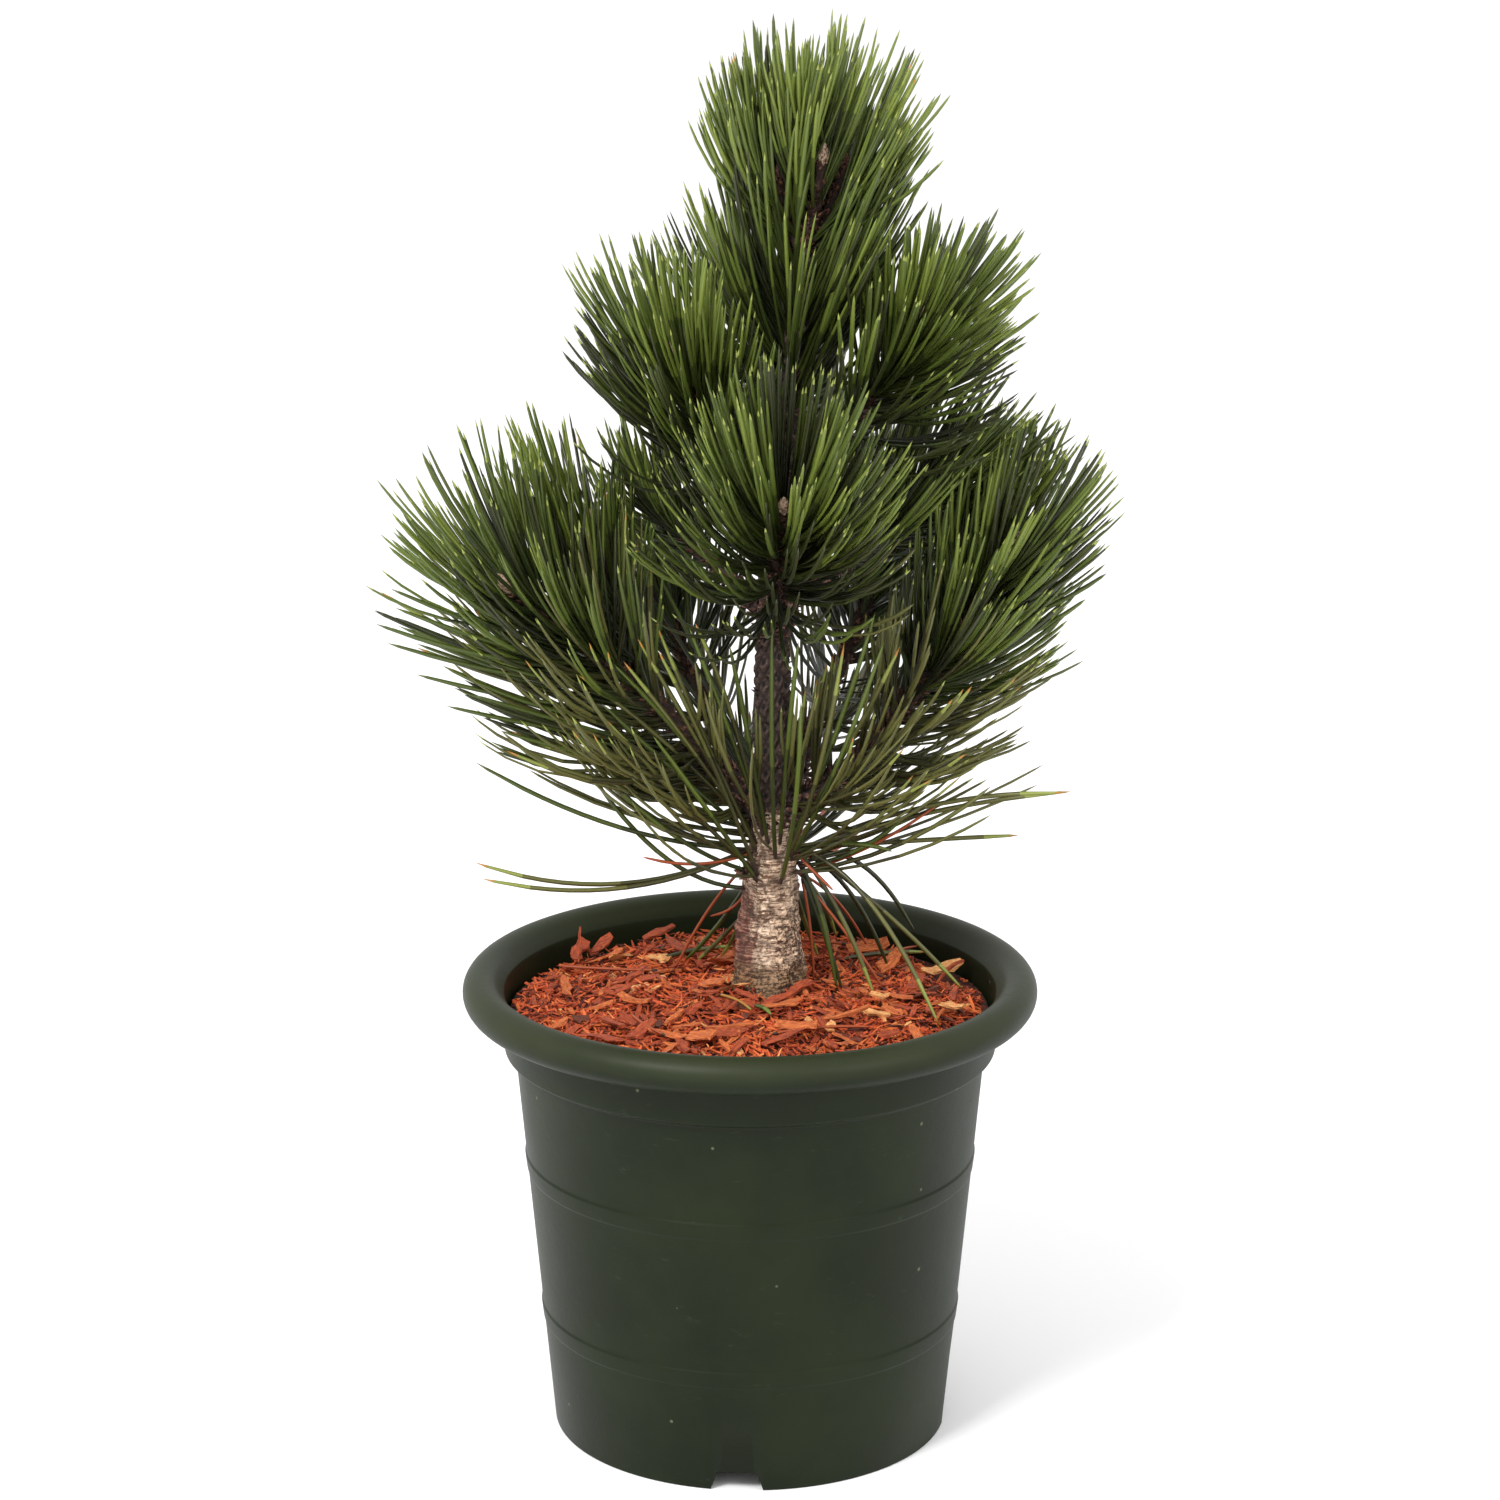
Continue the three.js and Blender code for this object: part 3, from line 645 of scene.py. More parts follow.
def bed_mesh():
    rings, sides = BED_RINGS, BED_SIDES
    turn = np.tile(np.arange(sides) * math.tau / sides, (rings, 1))
    r = np.tile(np.linspace(MULCH_RADIUS - BED_INSET, 0, rings, endpoint=False)[:, None], (1, sides))
    z = mulch_height(r, turn) - BED_SINK
    top = np.stack([r * np.cos(turn), r * np.sin(turn), z], axis=-1)
    foot = top[:1].copy()
    foot[..., 2] = SOIL_TOP + GAP
    last = (rings + 1) * sides
    points = np.concatenate([foot, top]).reshape(-1, 3)
    points = np.concatenate([points, [[0, 0, z[-1].mean()], [0, 0, SOIL_TOP + GAP]]])
    here = np.arange(sides)
    ahead = (here + 1) % sides
    cap = np.stack([here + last - sides, ahead + last - sides, np.full(sides, last)], axis=1)
    floor = np.stack([ahead, here, np.full(sides, last + 1)], axis=1)
    return mesh_of("mulch_bed", points, [grid_faces(rings + 1, sides), np.concatenate([cap, floor])])


# %% Lay the bed
def bed_finish():
    finish = Finish("mulch_dust", Roughness=0.92)
    place = finish.place()
    shreds = finish.noise(place, 2.4, 5, 0.75)
    # Dust and painted shade: the bed shows only in the gaps between the chips, and its colours are darker
    # than theirs, partly the fine dust's own colour and partly painted shade in those gaps.
    colour = finish.blend(finish.ease(shreds, 0.35, 0.68), paint(34, 13, 7), paint(120, 52, 26))
    finish.wear("Base Color", colour)
    finish.relief(shreds, 2)
    return finish.material


bed = piece("mulch_bed", bed_mesh(), bed_finish())
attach(bed, "root")
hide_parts("bark_mulch")
print("mulch bed", len(bed.data.vertices), "points")


# %% Shapes of splinters
GRAIN_SPREAD = 90


def splinter(rng, length, width, thick, stations, curl, torn):
    """The points of a torn sliver of wood along X, four at each station."""
    share = np.linspace(-1, 1, stations)
    half_width = width / 2 * (1 - torn * np.abs(share) ** 3) * rng.uniform(0.75, 1.1, stations)
    sway = width * rng.uniform(-0.2, 0.2, stations)
    height = length * curl * (share**2 - 0.4)
    half_thick = thick / 2 * rng.uniform(0.7, 1.1, stations) * (1 - 0.5 * torn * np.abs(share) ** 3)
    corners = [(-1, -1), (1, -1), (1, 1), (-1, 1)]
    rows = [[share * length / 2, sway + a * half_width, height + b * half_thick] for a, b in corners]
    points = np.array(rows).transpose(2, 0, 1)
    points += rng.normal(0, 0.09 * width, points.shape) * [1, 1, 0.5]
    return points.reshape(-1, 3)


def splinter_faces(stations):
    """The faces round a sliver with four corners at each station, and its two ends."""
    ends = np.array([[3, 2, 1, 0], [0, 1, 2, 3]]) + [[0], [4 * (stations - 1)]]
    return np.concatenate([grid_faces(stations, 4), ends])


def crisp(mesh):
    """The mesh with its edges left sharp, as torn wood has them."""
    mesh.polygons.foreach_set("use_smooth", np.zeros(len(mesh.polygons), bool))
    return mesh


def splinter_piece(name, rng, length, width, thick, stations=4, curl=0.0, torn=0.6):
    points = splinter(rng, length, width, thick, stations, curl, torn)
    grain = points + rng.uniform(0, GRAIN_SPREAD, 3)
    return piece(name, crisp(mesh_of(name, points, [splinter_faces(stations)], grain=grain)))


def shape_collection(name, make, count):
    """A collection of that many shapes, for a recipe to pick from."""
    shapes = bpy.data.collections.new(name)
    for i in range(count):
        shown = make(f"{name}_{i}")
        bpy.context.scene.collection.objects.unlink(shown)
        shapes.objects.link(shown)
    return shapes


# %% Steps of the scattering
TRUNK_FOOT = (9, 8)
TRUNK_FOOT_RADIUS = 14
TONE_PATCH = 16
TONE_PATCH_WEIGHT = 0.8


def spots_on(recipe, density):
    """Random points on the faces that come in, each with a rotation as its second output."""
    values = {0: recipe.asked("Geometry"), "Density": density, "Seed": recipe.asked("Seed")}
    return recipe.node("GeometryNodeDistributePointsOnFaces", {"distribute_method": "RANDOM"}, values)


def in_reach(recipe, spots):
    """The points that lie within reach, off the trunk's foot and on top of the bed."""
    x, y, z = recipe.parts_of(recipe.node("GeometryNodeInputPosition"))
    out = (x * x + y * y).maths("SQRT")
    from_trunk_x = x - TRUNK_FOOT[0] * MM
    from_trunk_y = y - TRUNK_FOOT[1] * MM
    from_trunk = (from_trunk_x * from_trunk_x + from_trunk_y * from_trunk_y).maths("SQRT")
    beyond = (out > recipe.asked("Reach")).maths("MAXIMUM", from_trunk < (TRUNK_FOOT_RADIUS - 1) * MM)
    below = beyond.maths("MAXIMUM", z < (SOIL_TOP + 1) * MM)
    return recipe.step("GeometryNodeDeleteGeometry", spots, {"domain": "POINT"}, Selection=below)


def turned_on_spot(recipe, stance, low, high):
    """A stance turned about its own axes by random angles between two corners."""
    turns = recipe.random(low, high, recipe.asked("Seed"), "FLOAT_VECTOR")
    return recipe.node("FunctionNodeRotateRotation", {"rotation_space": "LOCAL"}, {0: stance, 1: turns})


def dealt_finishes(recipe, strewn, shares):
    """Real meshes in place of the instances, each in a finish that its own tone picks."""
    patches = recipe.noise(recipe.node("GeometryNodeInputPosition"), TONE_PATCH, 3)
    tone = recipe.random(0.0, 1.0, recipe.asked("Seed") + 7) + (patches - 0.5) * TONE_PATCH_WEIGHT
    toned = recipe.write(strewn, "tone", tone, domain="INSTANCE")
    whole = recipe.step("GeometryNodeRealizeInstances", toned)
    for finish, share in reversed(shares):
        chosen = recipe.written("tone") < share
        whole = recipe.step("GeometryNodeSetMaterial", whole, Selection=chosen, Material=finish)
    return whole


# %% The scattering recipe
def scattering_recipe(name, shares):
    """Scatters shapes over a bed, and deals them out among the finishes by their shares."""
    recipe = Recipe(
        name, Shapes="NodeSocketCollection", Kinds=int, Per_Square_Metre=float, Reach=float, Tilt=float,
        Pile=float, Smallest=float, Largest=float, Seed=int,
    )
    seed = recipe.asked("Seed")
    spots = spots_on(recipe, recipe.asked("Per_Square_Metre"))
    lift = recipe.vector(0, 0, recipe.random(0, recipe.asked("Pile"), seed))
    piled = recipe.step("GeometryNodeSetPosition", in_reach(recipe, spots), Offset=lift)
    tilt = recipe.asked("Tilt")
    low, high = recipe.vector(0 - tilt, 0 - tilt, 0), recipe.vector(tilt, tilt, math.tau)
    stance = turned_on_spot(recipe, spots.beside("Rotation"), low, high)
    picked = {0: recipe.asked("Shapes"), "Separate Children": True, "Reset Children": True}
    shapes = recipe.node("GeometryNodeCollectionInfo", None, picked)
    strewn = recipe.step(
        "GeometryNodeInstanceOnPoints", piled, Instance=shapes, Pick_Instance=True,
        Instance_Index=recipe.random(0, recipe.asked("Kinds") - 1, seed, "INT"), Rotation=stance,
        Scale=recipe.random(recipe.asked("Smallest"), recipe.asked("Largest"), seed + 3),
    )
    recipe.end(dealt_finishes(recipe, strewn, shares))
    return recipe


# %% [markdown]
# ### Colours of the mulch
#
# Shredded bark is mostly fox red, with dark weathered scraps and a few splinters of clean pale wood.
# The small shreds are dealt plain colours. The larger chips are seen one by one, so they get a grain
# that runs along each chip: every shape carries its own coordinates from before it was scattered.


# %% Finishes of the chips
def grained_wood(name, dark, light):
    finish = Finish(name, Roughness=0.8)
    grain = finish.stretched(finish.own("grain", "Vector"), (7, 1, 1))
    shift = finish.own("tone") * 40
    values = {"Vector": grain, "W": shift, "Scale": 2.2, "Detail": 4, "Roughness": 0.7}
    fibres = finish.node("ShaderNodeTexNoise", {"noise_dimensions": "4D"}, values)
    colour = finish.blend(finish.ease(fibres, 0.36, 0.64), paint(*dark), paint(*light))
    finish.wear("Base Color", colour)
    finish.relief(fibres, 0.5)
    return finish.material


shred_shares = [
    (plain("shred_dark", (72, 25, 12), 0.85), 0.15),
    (plain("shred_brown", (150, 58, 27), 0.85), 0.4),
    (plain("shred_red", (193, 80, 37), 0.82), 0.76),
    (plain("shred_orange", (207, 101, 46), 0.8), 1.02),
    (plain("shred_light", (224, 142, 80), 0.8), 1.13),
    (plain("shred_pale", (236, 186, 124), 0.8), 2),
]
chip_shares = [
    (grained_wood("chip_dark", (70, 29, 16), (122, 56, 29)), 0.08),
    (grained_wood("chip_red", (114, 43, 21), (184, 80, 38)), 0.6),
    (grained_wood("chip_orange", (150, 66, 28), (216, 118, 58)), 0.95),
    (grained_wood("chip_pale", (186, 108, 56), (240, 184, 116)), 2),
]
print("finishes for shreds", len(shred_shares), "and for chips", len(chip_shares))

# %% Shreds, chips and crumbs
rng = np.random.default_rng(5)


def sliver(name):
    length, width = rng.uniform(3, 9), rng.uniform(0.5, 1.5)
    return splinter_piece(name, rng, length, width, rng.uniform(0.4, 0.7), 3, rng.uniform(-0.08, 0.12))


def chip(name):
    length, width = rng.uniform(6, 18), rng.uniform(2, 5.4)
    return splinter_piece(name, rng, length, width, rng.uniform(0.7, 1.4), 5, rng.uniform(-0.04, 0.1), 0.45)


def crumb(name):
    length = rng.uniform(1.4, 3.4)
    return splinter_piece(name, rng, length, length * rng.uniform(0.4, 0.8), 0.8, 2, 0, 0.3)


# %% Strew the mulch
def strew(name, shares, make, kinds, **answers):
    shapes = shape_collection(name + "_shape", make, kinds)
    sizes = dict(Shapes=shapes, Kinds=kinds, **answers)
    strewn = scattering_recipe(name + "_recipe", shares).carry_out(name, bed.data.copy(), **sizes)
    for shape in list(shapes.objects):
        bpy.data.objects.remove(shape)
    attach(strewn, "root")


strew(
    "mulch_crumbs", shred_shares, crumb, 8, Per_Square_Metre=150000.0, Reach=94.5 * MM, Tilt=0.7,
    Pile=1.6 * MM, Smallest=0.6, Largest=1.2, Seed=3,
)
strew(
    "mulch_shreds", shred_shares, sliver, 14, Per_Square_Metre=230000.0, Reach=91 * MM, Tilt=0.5,
    Pile=3.8 * MM, Smallest=0.6, Largest=1.15, Seed=4,
)
strew(
    "mulch_chips", chip_shares, chip, 12, Per_Square_Metre=19000.0, Reach=87 * MM, Tilt=0.36,
    Pile=5.2 * MM, Smallest=0.45, Largest=1.1, Seed=6,
)

# %% [markdown]
# ### Chips that are seen one by one
#
# The eye stops at a few pieces on top of the mulch: a long flake in front of the trunk, a curled and a
# flat chip at the back right, splinters that stand against the pot's wall. Those are laid one by one, each
# as a longer splinter of its own with the same grain.

# %% Places of the large chips
Laid = namedtuple("Laid", "x y lift length width turn tilt roll curl tone")
LAID = [
    Laid(15, -13, 4, 30, 5.5, 40, 10, 14, 0.02, 0.55), Laid(78, 31, 6, 21, 7, 22, 4, 20, 0.12, 0.97),
    Laid(49, 54, 6, 19, 9, 10, 6, 34, 0.06, 0.8), Laid(57, 31, 5, 15, 8, 42, 14, 28, 0.05, 0.9),
    Laid(81, 25, 7, 20, 1.8, 46, 22, 0, -0.12, 0.3), Laid(79, -19, 3, 15, 4.6, -34, 4, 8, 0, 1),
    Laid(52, -12, 4, 13, 3.6, -52, 12, 20, 0.12, 0.98), Laid(-15, 0, 4, 15, 6.5, -46, 16, 20, 0.04, 0.9),
    Laid(-46, -15, 3, 21, 4.6, -46, 6, 12, 0.08, 0.94), Laid(-54, -40, 3, 23, 3.6, -64, 8, 0, 0, 0.5),
    Laid(-19, -61, 4, 14, 8, -30, 14, 16, 0.02, 0.93), Laid(18, -51, 4, 19, 6.5, -14, 5, 18, 0.06, 0.85),
    Laid(31, -60, 3, 16, 3.8, -66, 8, 0, 0, 0.4), Laid(-70, 50, 6, 15, 7, 74, 24, 20, 0.04, 0.3),
    Laid(-62, 58, 6, 15, 6, 40, 20, 20, 0.04, 0.5), Laid(-38, 74, 6, 17, 5, 24, 14, 14, 0, 0.6),
    Laid(-35, 33, 4, 13, 4.6, -60, 14, 20, 0.1, 0.96), Laid(-70, 44, 10, 17, 1.2, 84, 62, 0, 0.05, 0.1),
    Laid(-8, -46, 3, 22, 2.4, 8, 4, 0, 0.02, 0.7), Laid(38, -36, 4, 24, 2.6, 30, 6, 0, 0.03, 0.75),
    Laid(66, 6, 4, 14, 6, 70, 12, 26, 0.05, 0.6), Laid(-74, 8, 4, 18, 6, 100, 12, 20, 0.04, 0.66),
    Laid(-30, -34, 3, 17, 3.4, 60, 6, 8, 0.04, 0.86), Laid(2, 62, 5, 18, 7, -20, 10, 24, 0.03, 0.7),
]
LAID_LONG, LAID_WIDE = 0.86, 0.74
LAID_THICK = 1.2
LAID_TORN = 0.25
LAID_STATIONS = 5


# %% Lay the large chips
def turned(points, axis, degrees):
    """The points turned about one of the axes."""
    one, other = [i for i in range(3) if i != axis]
    c, s = math.cos(math.radians(degrees)), math.sin(math.radians(degrees))
    made = points.copy()
    made[:, one] = c * points[:, one] - s * points[:, other]
    made[:, other] = s * points[:, one] + c * points[:, other]
    return made


def laid_chip(rng, chip):
    """A chip's points where it lies, and where each is in the chip's own grain."""
    length, width = LAID_LONG * chip.length, LAID_WIDE * chip.width
    flat = splinter(rng, length, width, LAID_THICK, LAID_STATIONS, chip.curl, LAID_TORN)
    stood = turned(turned(turned(flat, 0, chip.roll), 1, chip.tilt), 2, chip.turn)
    height = mulch_height(math.hypot(chip.x, chip.y), math.atan2(chip.y, chip.x)) + chip.lift
    return stood + [chip.x, chip.y, height], flat + rng.uniform(0, GRAIN_SPREAD, 3)


def lay_chips():
    rng = np.random.default_rng(12)
    points, grains = np.array([laid_chip(rng, chip) for chip in LAID]).transpose(1, 0, 2, 3)
    tones = np.repeat([chip.tone for chip in LAID], points.shape[1])
    faces = splinter_faces(LAID_STATIONS)
    groups = [faces + i * points.shape[1] for i in range(len(LAID))]
    ranks = [sum(chip.tone > share for _, share in chip_shares) for chip in LAID]
    own = {"grain": grains.reshape(-1, 3), "tone": tones}
    mesh = crisp(mesh_of("mulch_laid", points.reshape(-1, 3), [np.vstack(groups)], **own))
    mesh.polygons.foreach_set("material_index", np.repeat(ranks, len(faces)))
    shown = piece("mulch_laid", mesh, *(finish for finish, _ in chip_shares))
    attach(shown, "root")
    print("large chips laid", len(LAID))


lay_chips()

# %% [markdown]
# ## The skeleton
#
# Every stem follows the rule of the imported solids: a trunk that leans a little, eleven branches that
# swing out and up to a bud each, two side shoots, and four short shoots at the top. The same few numbers
# for each branch are written here again, so that the fine stems run where the plain ones do. Only the
# old foot of the trunk is moved, by less than two millimetres, to the lean that shows close to.

# %% The trunk's line
GROUND = 172
TRUNK_CENTRES = [
    (9, 8, 172), (10, 8, 217), (10.5, 8, 243), (9, 8, 290), (8.7, 9, 325), (15, 10, 405), (20, 9, 474),
]
TRUNK_RADII = [
    (172, 16.8), (181, 14.8), (195, 12.9), (217, 11.9), (236, 9.4), (246, 9.6), (258, 7.3), (290, 6.5),
    (325, 5.6), (405, 4.4), (474, 3.2),
]
TRUNK_TOP = TRUNK_CENTRES[-1][2]
LINE_STEPS = 40


def smooth_line(knots, steps):
    """A centripetal Catmull-Rom curve through the knots."""
    knots = np.array(knots, float)
    knots = np.vstack([2 * knots[0] - knots[1], knots, 2 * knots[-1] - knots[-2]])
    made = []
    for i in range(len(knots) - 3):
        p0, p1, p2, p3 = knots[i : i + 4]
        d0, d1, d2 = (np.linalg.norm(b - a) ** 0.5 for a, b in ((p0, p1), (p1, p2), (p2, p3)))
        leaving = ((p1 - p0) / d0 - (p2 - p0) / (d0 + d1) + (p2 - p1) / d1) * d1
        arriving = ((p2 - p1) / d1 - (p3 - p1) / (d1 + d2) + (p3 - p2) / d2) * d1
        t = np.linspace(0, 1, steps)[:, None]
        bend = (-3 * p1 + 3 * p2 - 2 * leaving - arriving) * t**2
        made.append(p1 + leaving * t + bend + (2 * p1 - 2 * p2 + leaving + arriving) * t**3)
    return np.vstack(made)


trunk_line = smooth_line(TRUNK_CENTRES, LINE_STEPS)
print("trunk line of", len(trunk_line), "points up to", TRUNK_TOP, "mm")


def trunk_centre(z):
    z = np.asarray(z, float)
    x, y = (np.interp(z, trunk_line[:, 2], trunk_line[:, axis]) for axis in (0, 1))
    return np.stack([x, y, z], axis=-1)


def trunk_radius(z):
    return np.interp(z, *np.transpose(TRUNK_RADII))


# %% The branches' lines
Branch = namedtuple("Branch", "name leaves heading reach bud arch bare thick sprays")
Side = namedtuple("Side", "at heading reach rise sprays")
Shoot = namedtuple("Shoot", "start middle end bare thick sprays closed joined")

BRANCHES = [
    Branch("left_low", 246, 192, 104, 348, 13, 0.22, 5, 58),
    Branch("right_low", 250, 354, 93, 362, -27, 0.26, 4.8, 56),
    Branch("back_left_low", 240, 125, 96, 338, -6, 0.3, 4.6, 42),
    Branch("back_right_low", 257, 60, 98, 346, -6, 0.3, 4.6, 42),
    Branch("front_mid", 328, 273, 69, 390, -8, 0.3, 3.9, 58),
    Branch("left_mid", 334, 158, 50, 376, -6, 0.4, 3.6, 30),
    Branch("right_mid", 338, 14, 62, 378, -6, 0.4, 3.6, 30),
    Branch("back_mid", 340, 92, 62, 384, -6, 0.38, 3.7, 34),
    Branch("left_high", 372, 203, 43, 438, -20, 0.3, 3.4, 46),
    Branch("right_high", 384, 346, 56, 452, -8, 0.3, 3.4, 46),
    Branch("back_high", 394, 98, 48, 446, -8, 0.34, 3.2, 36),
]
SIDE_SHOOTS = {"left_low": Side(0.3, 140, 34, 68, 28), "right_low": Side(0.3, 35, 42, 80, 28)}
TOP_SHOOTS = [(200, 9, 27, 20), (325, 9, 35, 22), (20, 17, 31, 20), (105, 16, 24, 16)]
BOUGH_TAPER = 0.62
SIDE_THICK = 0.5
SIDE_BARE = 0.18
SIDE_SAG = 0.15
TWIG_TIP_RADIUS = 2.2
TOP_SHOOT_RADIUS = 3
TOP_SHOOT_WAIST = 0.4
TOP_SHOOT_BULGE = 0.25
LEADER_FOOT = TRUNK_TOP + 3
LEADER_CLOSED = 0.42


def along(shoot, t):
    t = np.asarray(t, float)[..., None]
    return (1 - t) ** 2 * shoot.start + 2 * t * (1 - t) * shoot.middle + t**2 * shoot.end


def ahead(shoot, t):
    t = np.asarray(t, float)[..., None]
    return unit((1 - t) * (shoot.middle - shoot.start) + t * (shoot.end - shoot.middle))


def shoots_of(branch):
    """The branch itself, and its side shoot where it has one."""
    start = trunk_centre(branch.leaves)
    end = start + branch.reach * heading_of(branch.heading)
    end[2] = branch.bud
    middle = (start + end) / 2 + [0, 0, branch.arch]
    thick = branch.thick * BOUGH_TAPER
    shoots = [Shoot(start, middle, end, branch.bare, thick, branch.sprays, 0, False)]
    side = SIDE_SHOOTS.get(branch.name)
    if side:
        start = along(shoots[0], mix(branch.bare, 1, side.at))
        end = start + side.reach * heading_of(side.heading) + [0, 0, side.rise]
        middle = (start + end) / 2 - [0, 0, SIDE_SAG * side.rise]
        shoots.append(Shoot(start, middle, end, SIDE_BARE, branch.thick * SIDE_THICK, side.sprays, 0, True))
    return shoots


def leader_shoots():
    """The short shoots round the end bud at the top."""
    shoots = []
    for heading, reach, rise, sprays in TOP_SHOOTS:
        foot = trunk_centre(TRUNK_TOP)
        foot[2] = LEADER_FOOT
        out = heading_of(heading)
        end = foot + reach * out + [0, 0, rise]
        middle = mix(foot, end, TOP_SHOOT_WAIST) + TOP_SHOOT_BULGE * reach * out
        shoots.append(Shoot(foot, middle, end, 0, TOP_SHOOT_RADIUS, sprays, LEADER_CLOSED, True))
    return shoots


masses = {branch.name: shoots_of(branch) for branch in BRANCHES}
masses["leader"] = leader_shoots()
print("shoots", sum(len(shoots) for shoots in masses.values()))

# %% [markdown]
# ## Bark
#
# The old foot of the trunk has pale, flaking plates. Above it the stem keeps the pattern that this pine
# is known for: lozenge-shaped cushions, each with the dark scar of a needle pair, packed in two sets of
# spirals. One recipe does both. It thickens the lines of the stems into tubes and pushes the surface
# out by cushions where the wood is young and by plates where it is old. The cushions, scars and cracks
# are kept on the mesh as attributes, so that the finish can darken the furrows just where they lie.


# %% Stems as tubes
def scaled(recipe, vector, by):
    return recipe.node("ShaderNodeVectorMath", {"operation": "SCALE"}, {0: vector, "Scale": by})


def stem_tubes(recipe):
    """The lines that come in as closed tubes, which know how far along and round each point is."""
    line = recipe.step("GeometryNodeMeshToCurve", recipe.asked("Geometry"))
    even = recipe.step("GeometryNodeResampleCurve", line, {"mode": "LENGTH"}, Length=recipe.asked("Step"))
    factor = recipe.node("GeometryNodeSplineParameter")
    measured = recipe.write(even, "length_along", factor.beside("Length"))
    measured = recipe.write(measured, "forward", recipe.node("GeometryNodeInputTangent"), "FLOAT_VECTOR")
    ring_sizes = {"Resolution": recipe.asked("Sides"), "Radius": 1.0}
    ring = recipe.node("GeometryNodeCurvePrimitiveCircle", {"mode": "RADIUS"}, ring_sizes)
    counted = recipe.write(ring, "turn_round", factor)
    return recipe.step(
        "GeometryNodeCurveToMesh", measured, Profile_Curve=counted, Scale=recipe.written("girth"),
        Fill_Caps=True,
    )


# %% Cushions and scars
SPIRALS_LEFT = 5
SPIRALS_RIGHT = 8
SCAR_PITCH = 9
SCAR_SHIFT = 0.12
SCAR_RADIUS = 0.26


def young_pattern(recipe, turn):
    """The height of the cushions of young bark, and the scar near the top of each."""
    rise = recipe.written("length_along") / (SCAR_PITCH * MM)
    one = (turn * SPIRALS_LEFT + rise).maths("FRACT") - 0.5
    other = (turn * SPIRALS_RIGHT - rise).maths("FRACT") - 0.5
    edge = one.maths("ABSOLUTE").maths("MAXIMUM", other.maths("ABSOLUTE"))
    scar_one = one - SCAR_SHIFT
    scar_other = other + SCAR_SHIFT
    from_scar = (scar_one * scar_one + scar_other * scar_other).maths("SQRT")
    return recipe.ease(1 - 2 * edge, 0.02, 0.6), recipe.ease(SCAR_RADIUS - from_scar, 0.0, 0.08)


# %% Plates and cracks
PLATE_SIZE = 8
WRINKLE_SIZE = 3
WARP = 2.2


def old_pattern(recipe, place, wrinkled):
    """The height of the plates of old bark, and the cracks between them, with 0 where they are deep."""
    warp = scaled(recipe, wrinkled.beside("Color"), WARP * MM)
    warped = recipe.node("ShaderNodeVectorMath", {"operation": "ADD"}, {0: place, 1: warp})
    tall_cells = recipe.stretched(warped, (1, 1, 1.7))
    split = recipe.ease(recipe.cells(tall_cells, PLATE_SIZE, "DISTANCE_TO_EDGE"), 0.0, 0.07)
    level = recipe.parts_of(recipe.cells(tall_cells, PLATE_SIZE, output="Color"))[0]
    wave = recipe.noise(recipe.stretched(warped, (3.4, 3.4, 0.65)), 2.1, 4, 0.7)
    crack = split * (recipe.ease((wave - 0.5).maths("ABSOLUTE"), 0.0, 0.06) * 0.75 + 0.25)
    return crack * (level * 0.5 + 0.5) + (wrinkled - 0.5) * 0.5, crack


# %% The bark recipe
ROOTS = 5
RIDGES = 3
RIDGE_PITCH = 11
RIDGE_DEPTH = 0.05
LUMP_SIZE = 9
LUMP_YOUNG, LUMP_OLD = 2.4, 3.6


def bark_recipe():
    recipe = Recipe(
        "barked_stems", Sides=int, Step=float, Cushion=float, Plate=float, Flare=float,
        Material="NodeSocketMaterial",
    )
    place = recipe.node("GeometryNodeInputPosition")
    height = recipe.parts_of(place)[2]
    turn = recipe.written("turn_round")
    old = recipe.written("age")
    wrinkled = recipe.noise(place, WRINKLE_SIZE, 3)
    cushion, scar = young_pattern(recipe, turn)
    plate, crack = old_pattern(recipe, place, wrinkled)
    flare = recipe.written("flare") * (turn * (ROOTS * math.tau) + 1).maths("SINE")
    ridges = (turn * (RIDGES * math.tau) + height / (RIDGE_PITCH * MM)).maths("SINE") * RIDGE_DEPTH
    lumps = (recipe.noise(place, LUMP_SIZE, 3) - 0.5) * (old * LUMP_OLD + LUMP_YOUNG) * MM
    swell = recipe.written("girth") * (flare * recipe.asked("Flare") + ridges) + lumps
    young_part = (1 - old) * recipe.asked("Cushion") * (cushion - scar * 0.45 + (wrinkled - 0.5) * 0.35)
    old_part = old * recipe.asked("Plate") * plate
    push = scaled(recipe, recipe.node("GeometryNodeInputNormal"), swell + young_part + old_part)
    tube = stem_tubes(recipe)
    for name, value in (("cushion", cushion), ("scar", scar), ("crack", crack)):
        tube = recipe.write(tube, name, value)
    rough = recipe.step("GeometryNodeSetPosition", tube, Offset=push)
    recipe.serve(recipe.step("GeometryNodeSetShadeSmooth", rough, {"domain": "FACE"}))
    return recipe


bark_stems = bark_recipe()


# %% Lines for the bark recipe
def stem_lines(lines):
    """One mesh of open lines, each a list of points with a radius, an age and a share of root flare."""
    points = np.vstack([line for line, *_ in lines])
    starts = np.cumsum([0] + [len(line) for line, *_ in lines])
    edges = [np.stack([np.arange(a, b - 1), np.arange(a + 1, b)], axis=1) for a, b in zip(starts, starts[1:])]
    girth, age, flare = (np.concatenate([line[i] for line in lines]) for i in (1, 2, 3))
    return mesh_of("stem_lines", points, edges=np.vstack(edges), girth=girth * MM, age=age, flare=flare)


def line_of(shoot, low, high, radius_at, steps=14):
    t = np.linspace(low, high, steps)
    return along(shoot, t), radius_at(t), np.zeros(steps), np.zeros(steps)


# %% The finish of old plates
OLD_WOOD_LEAN = 1.8


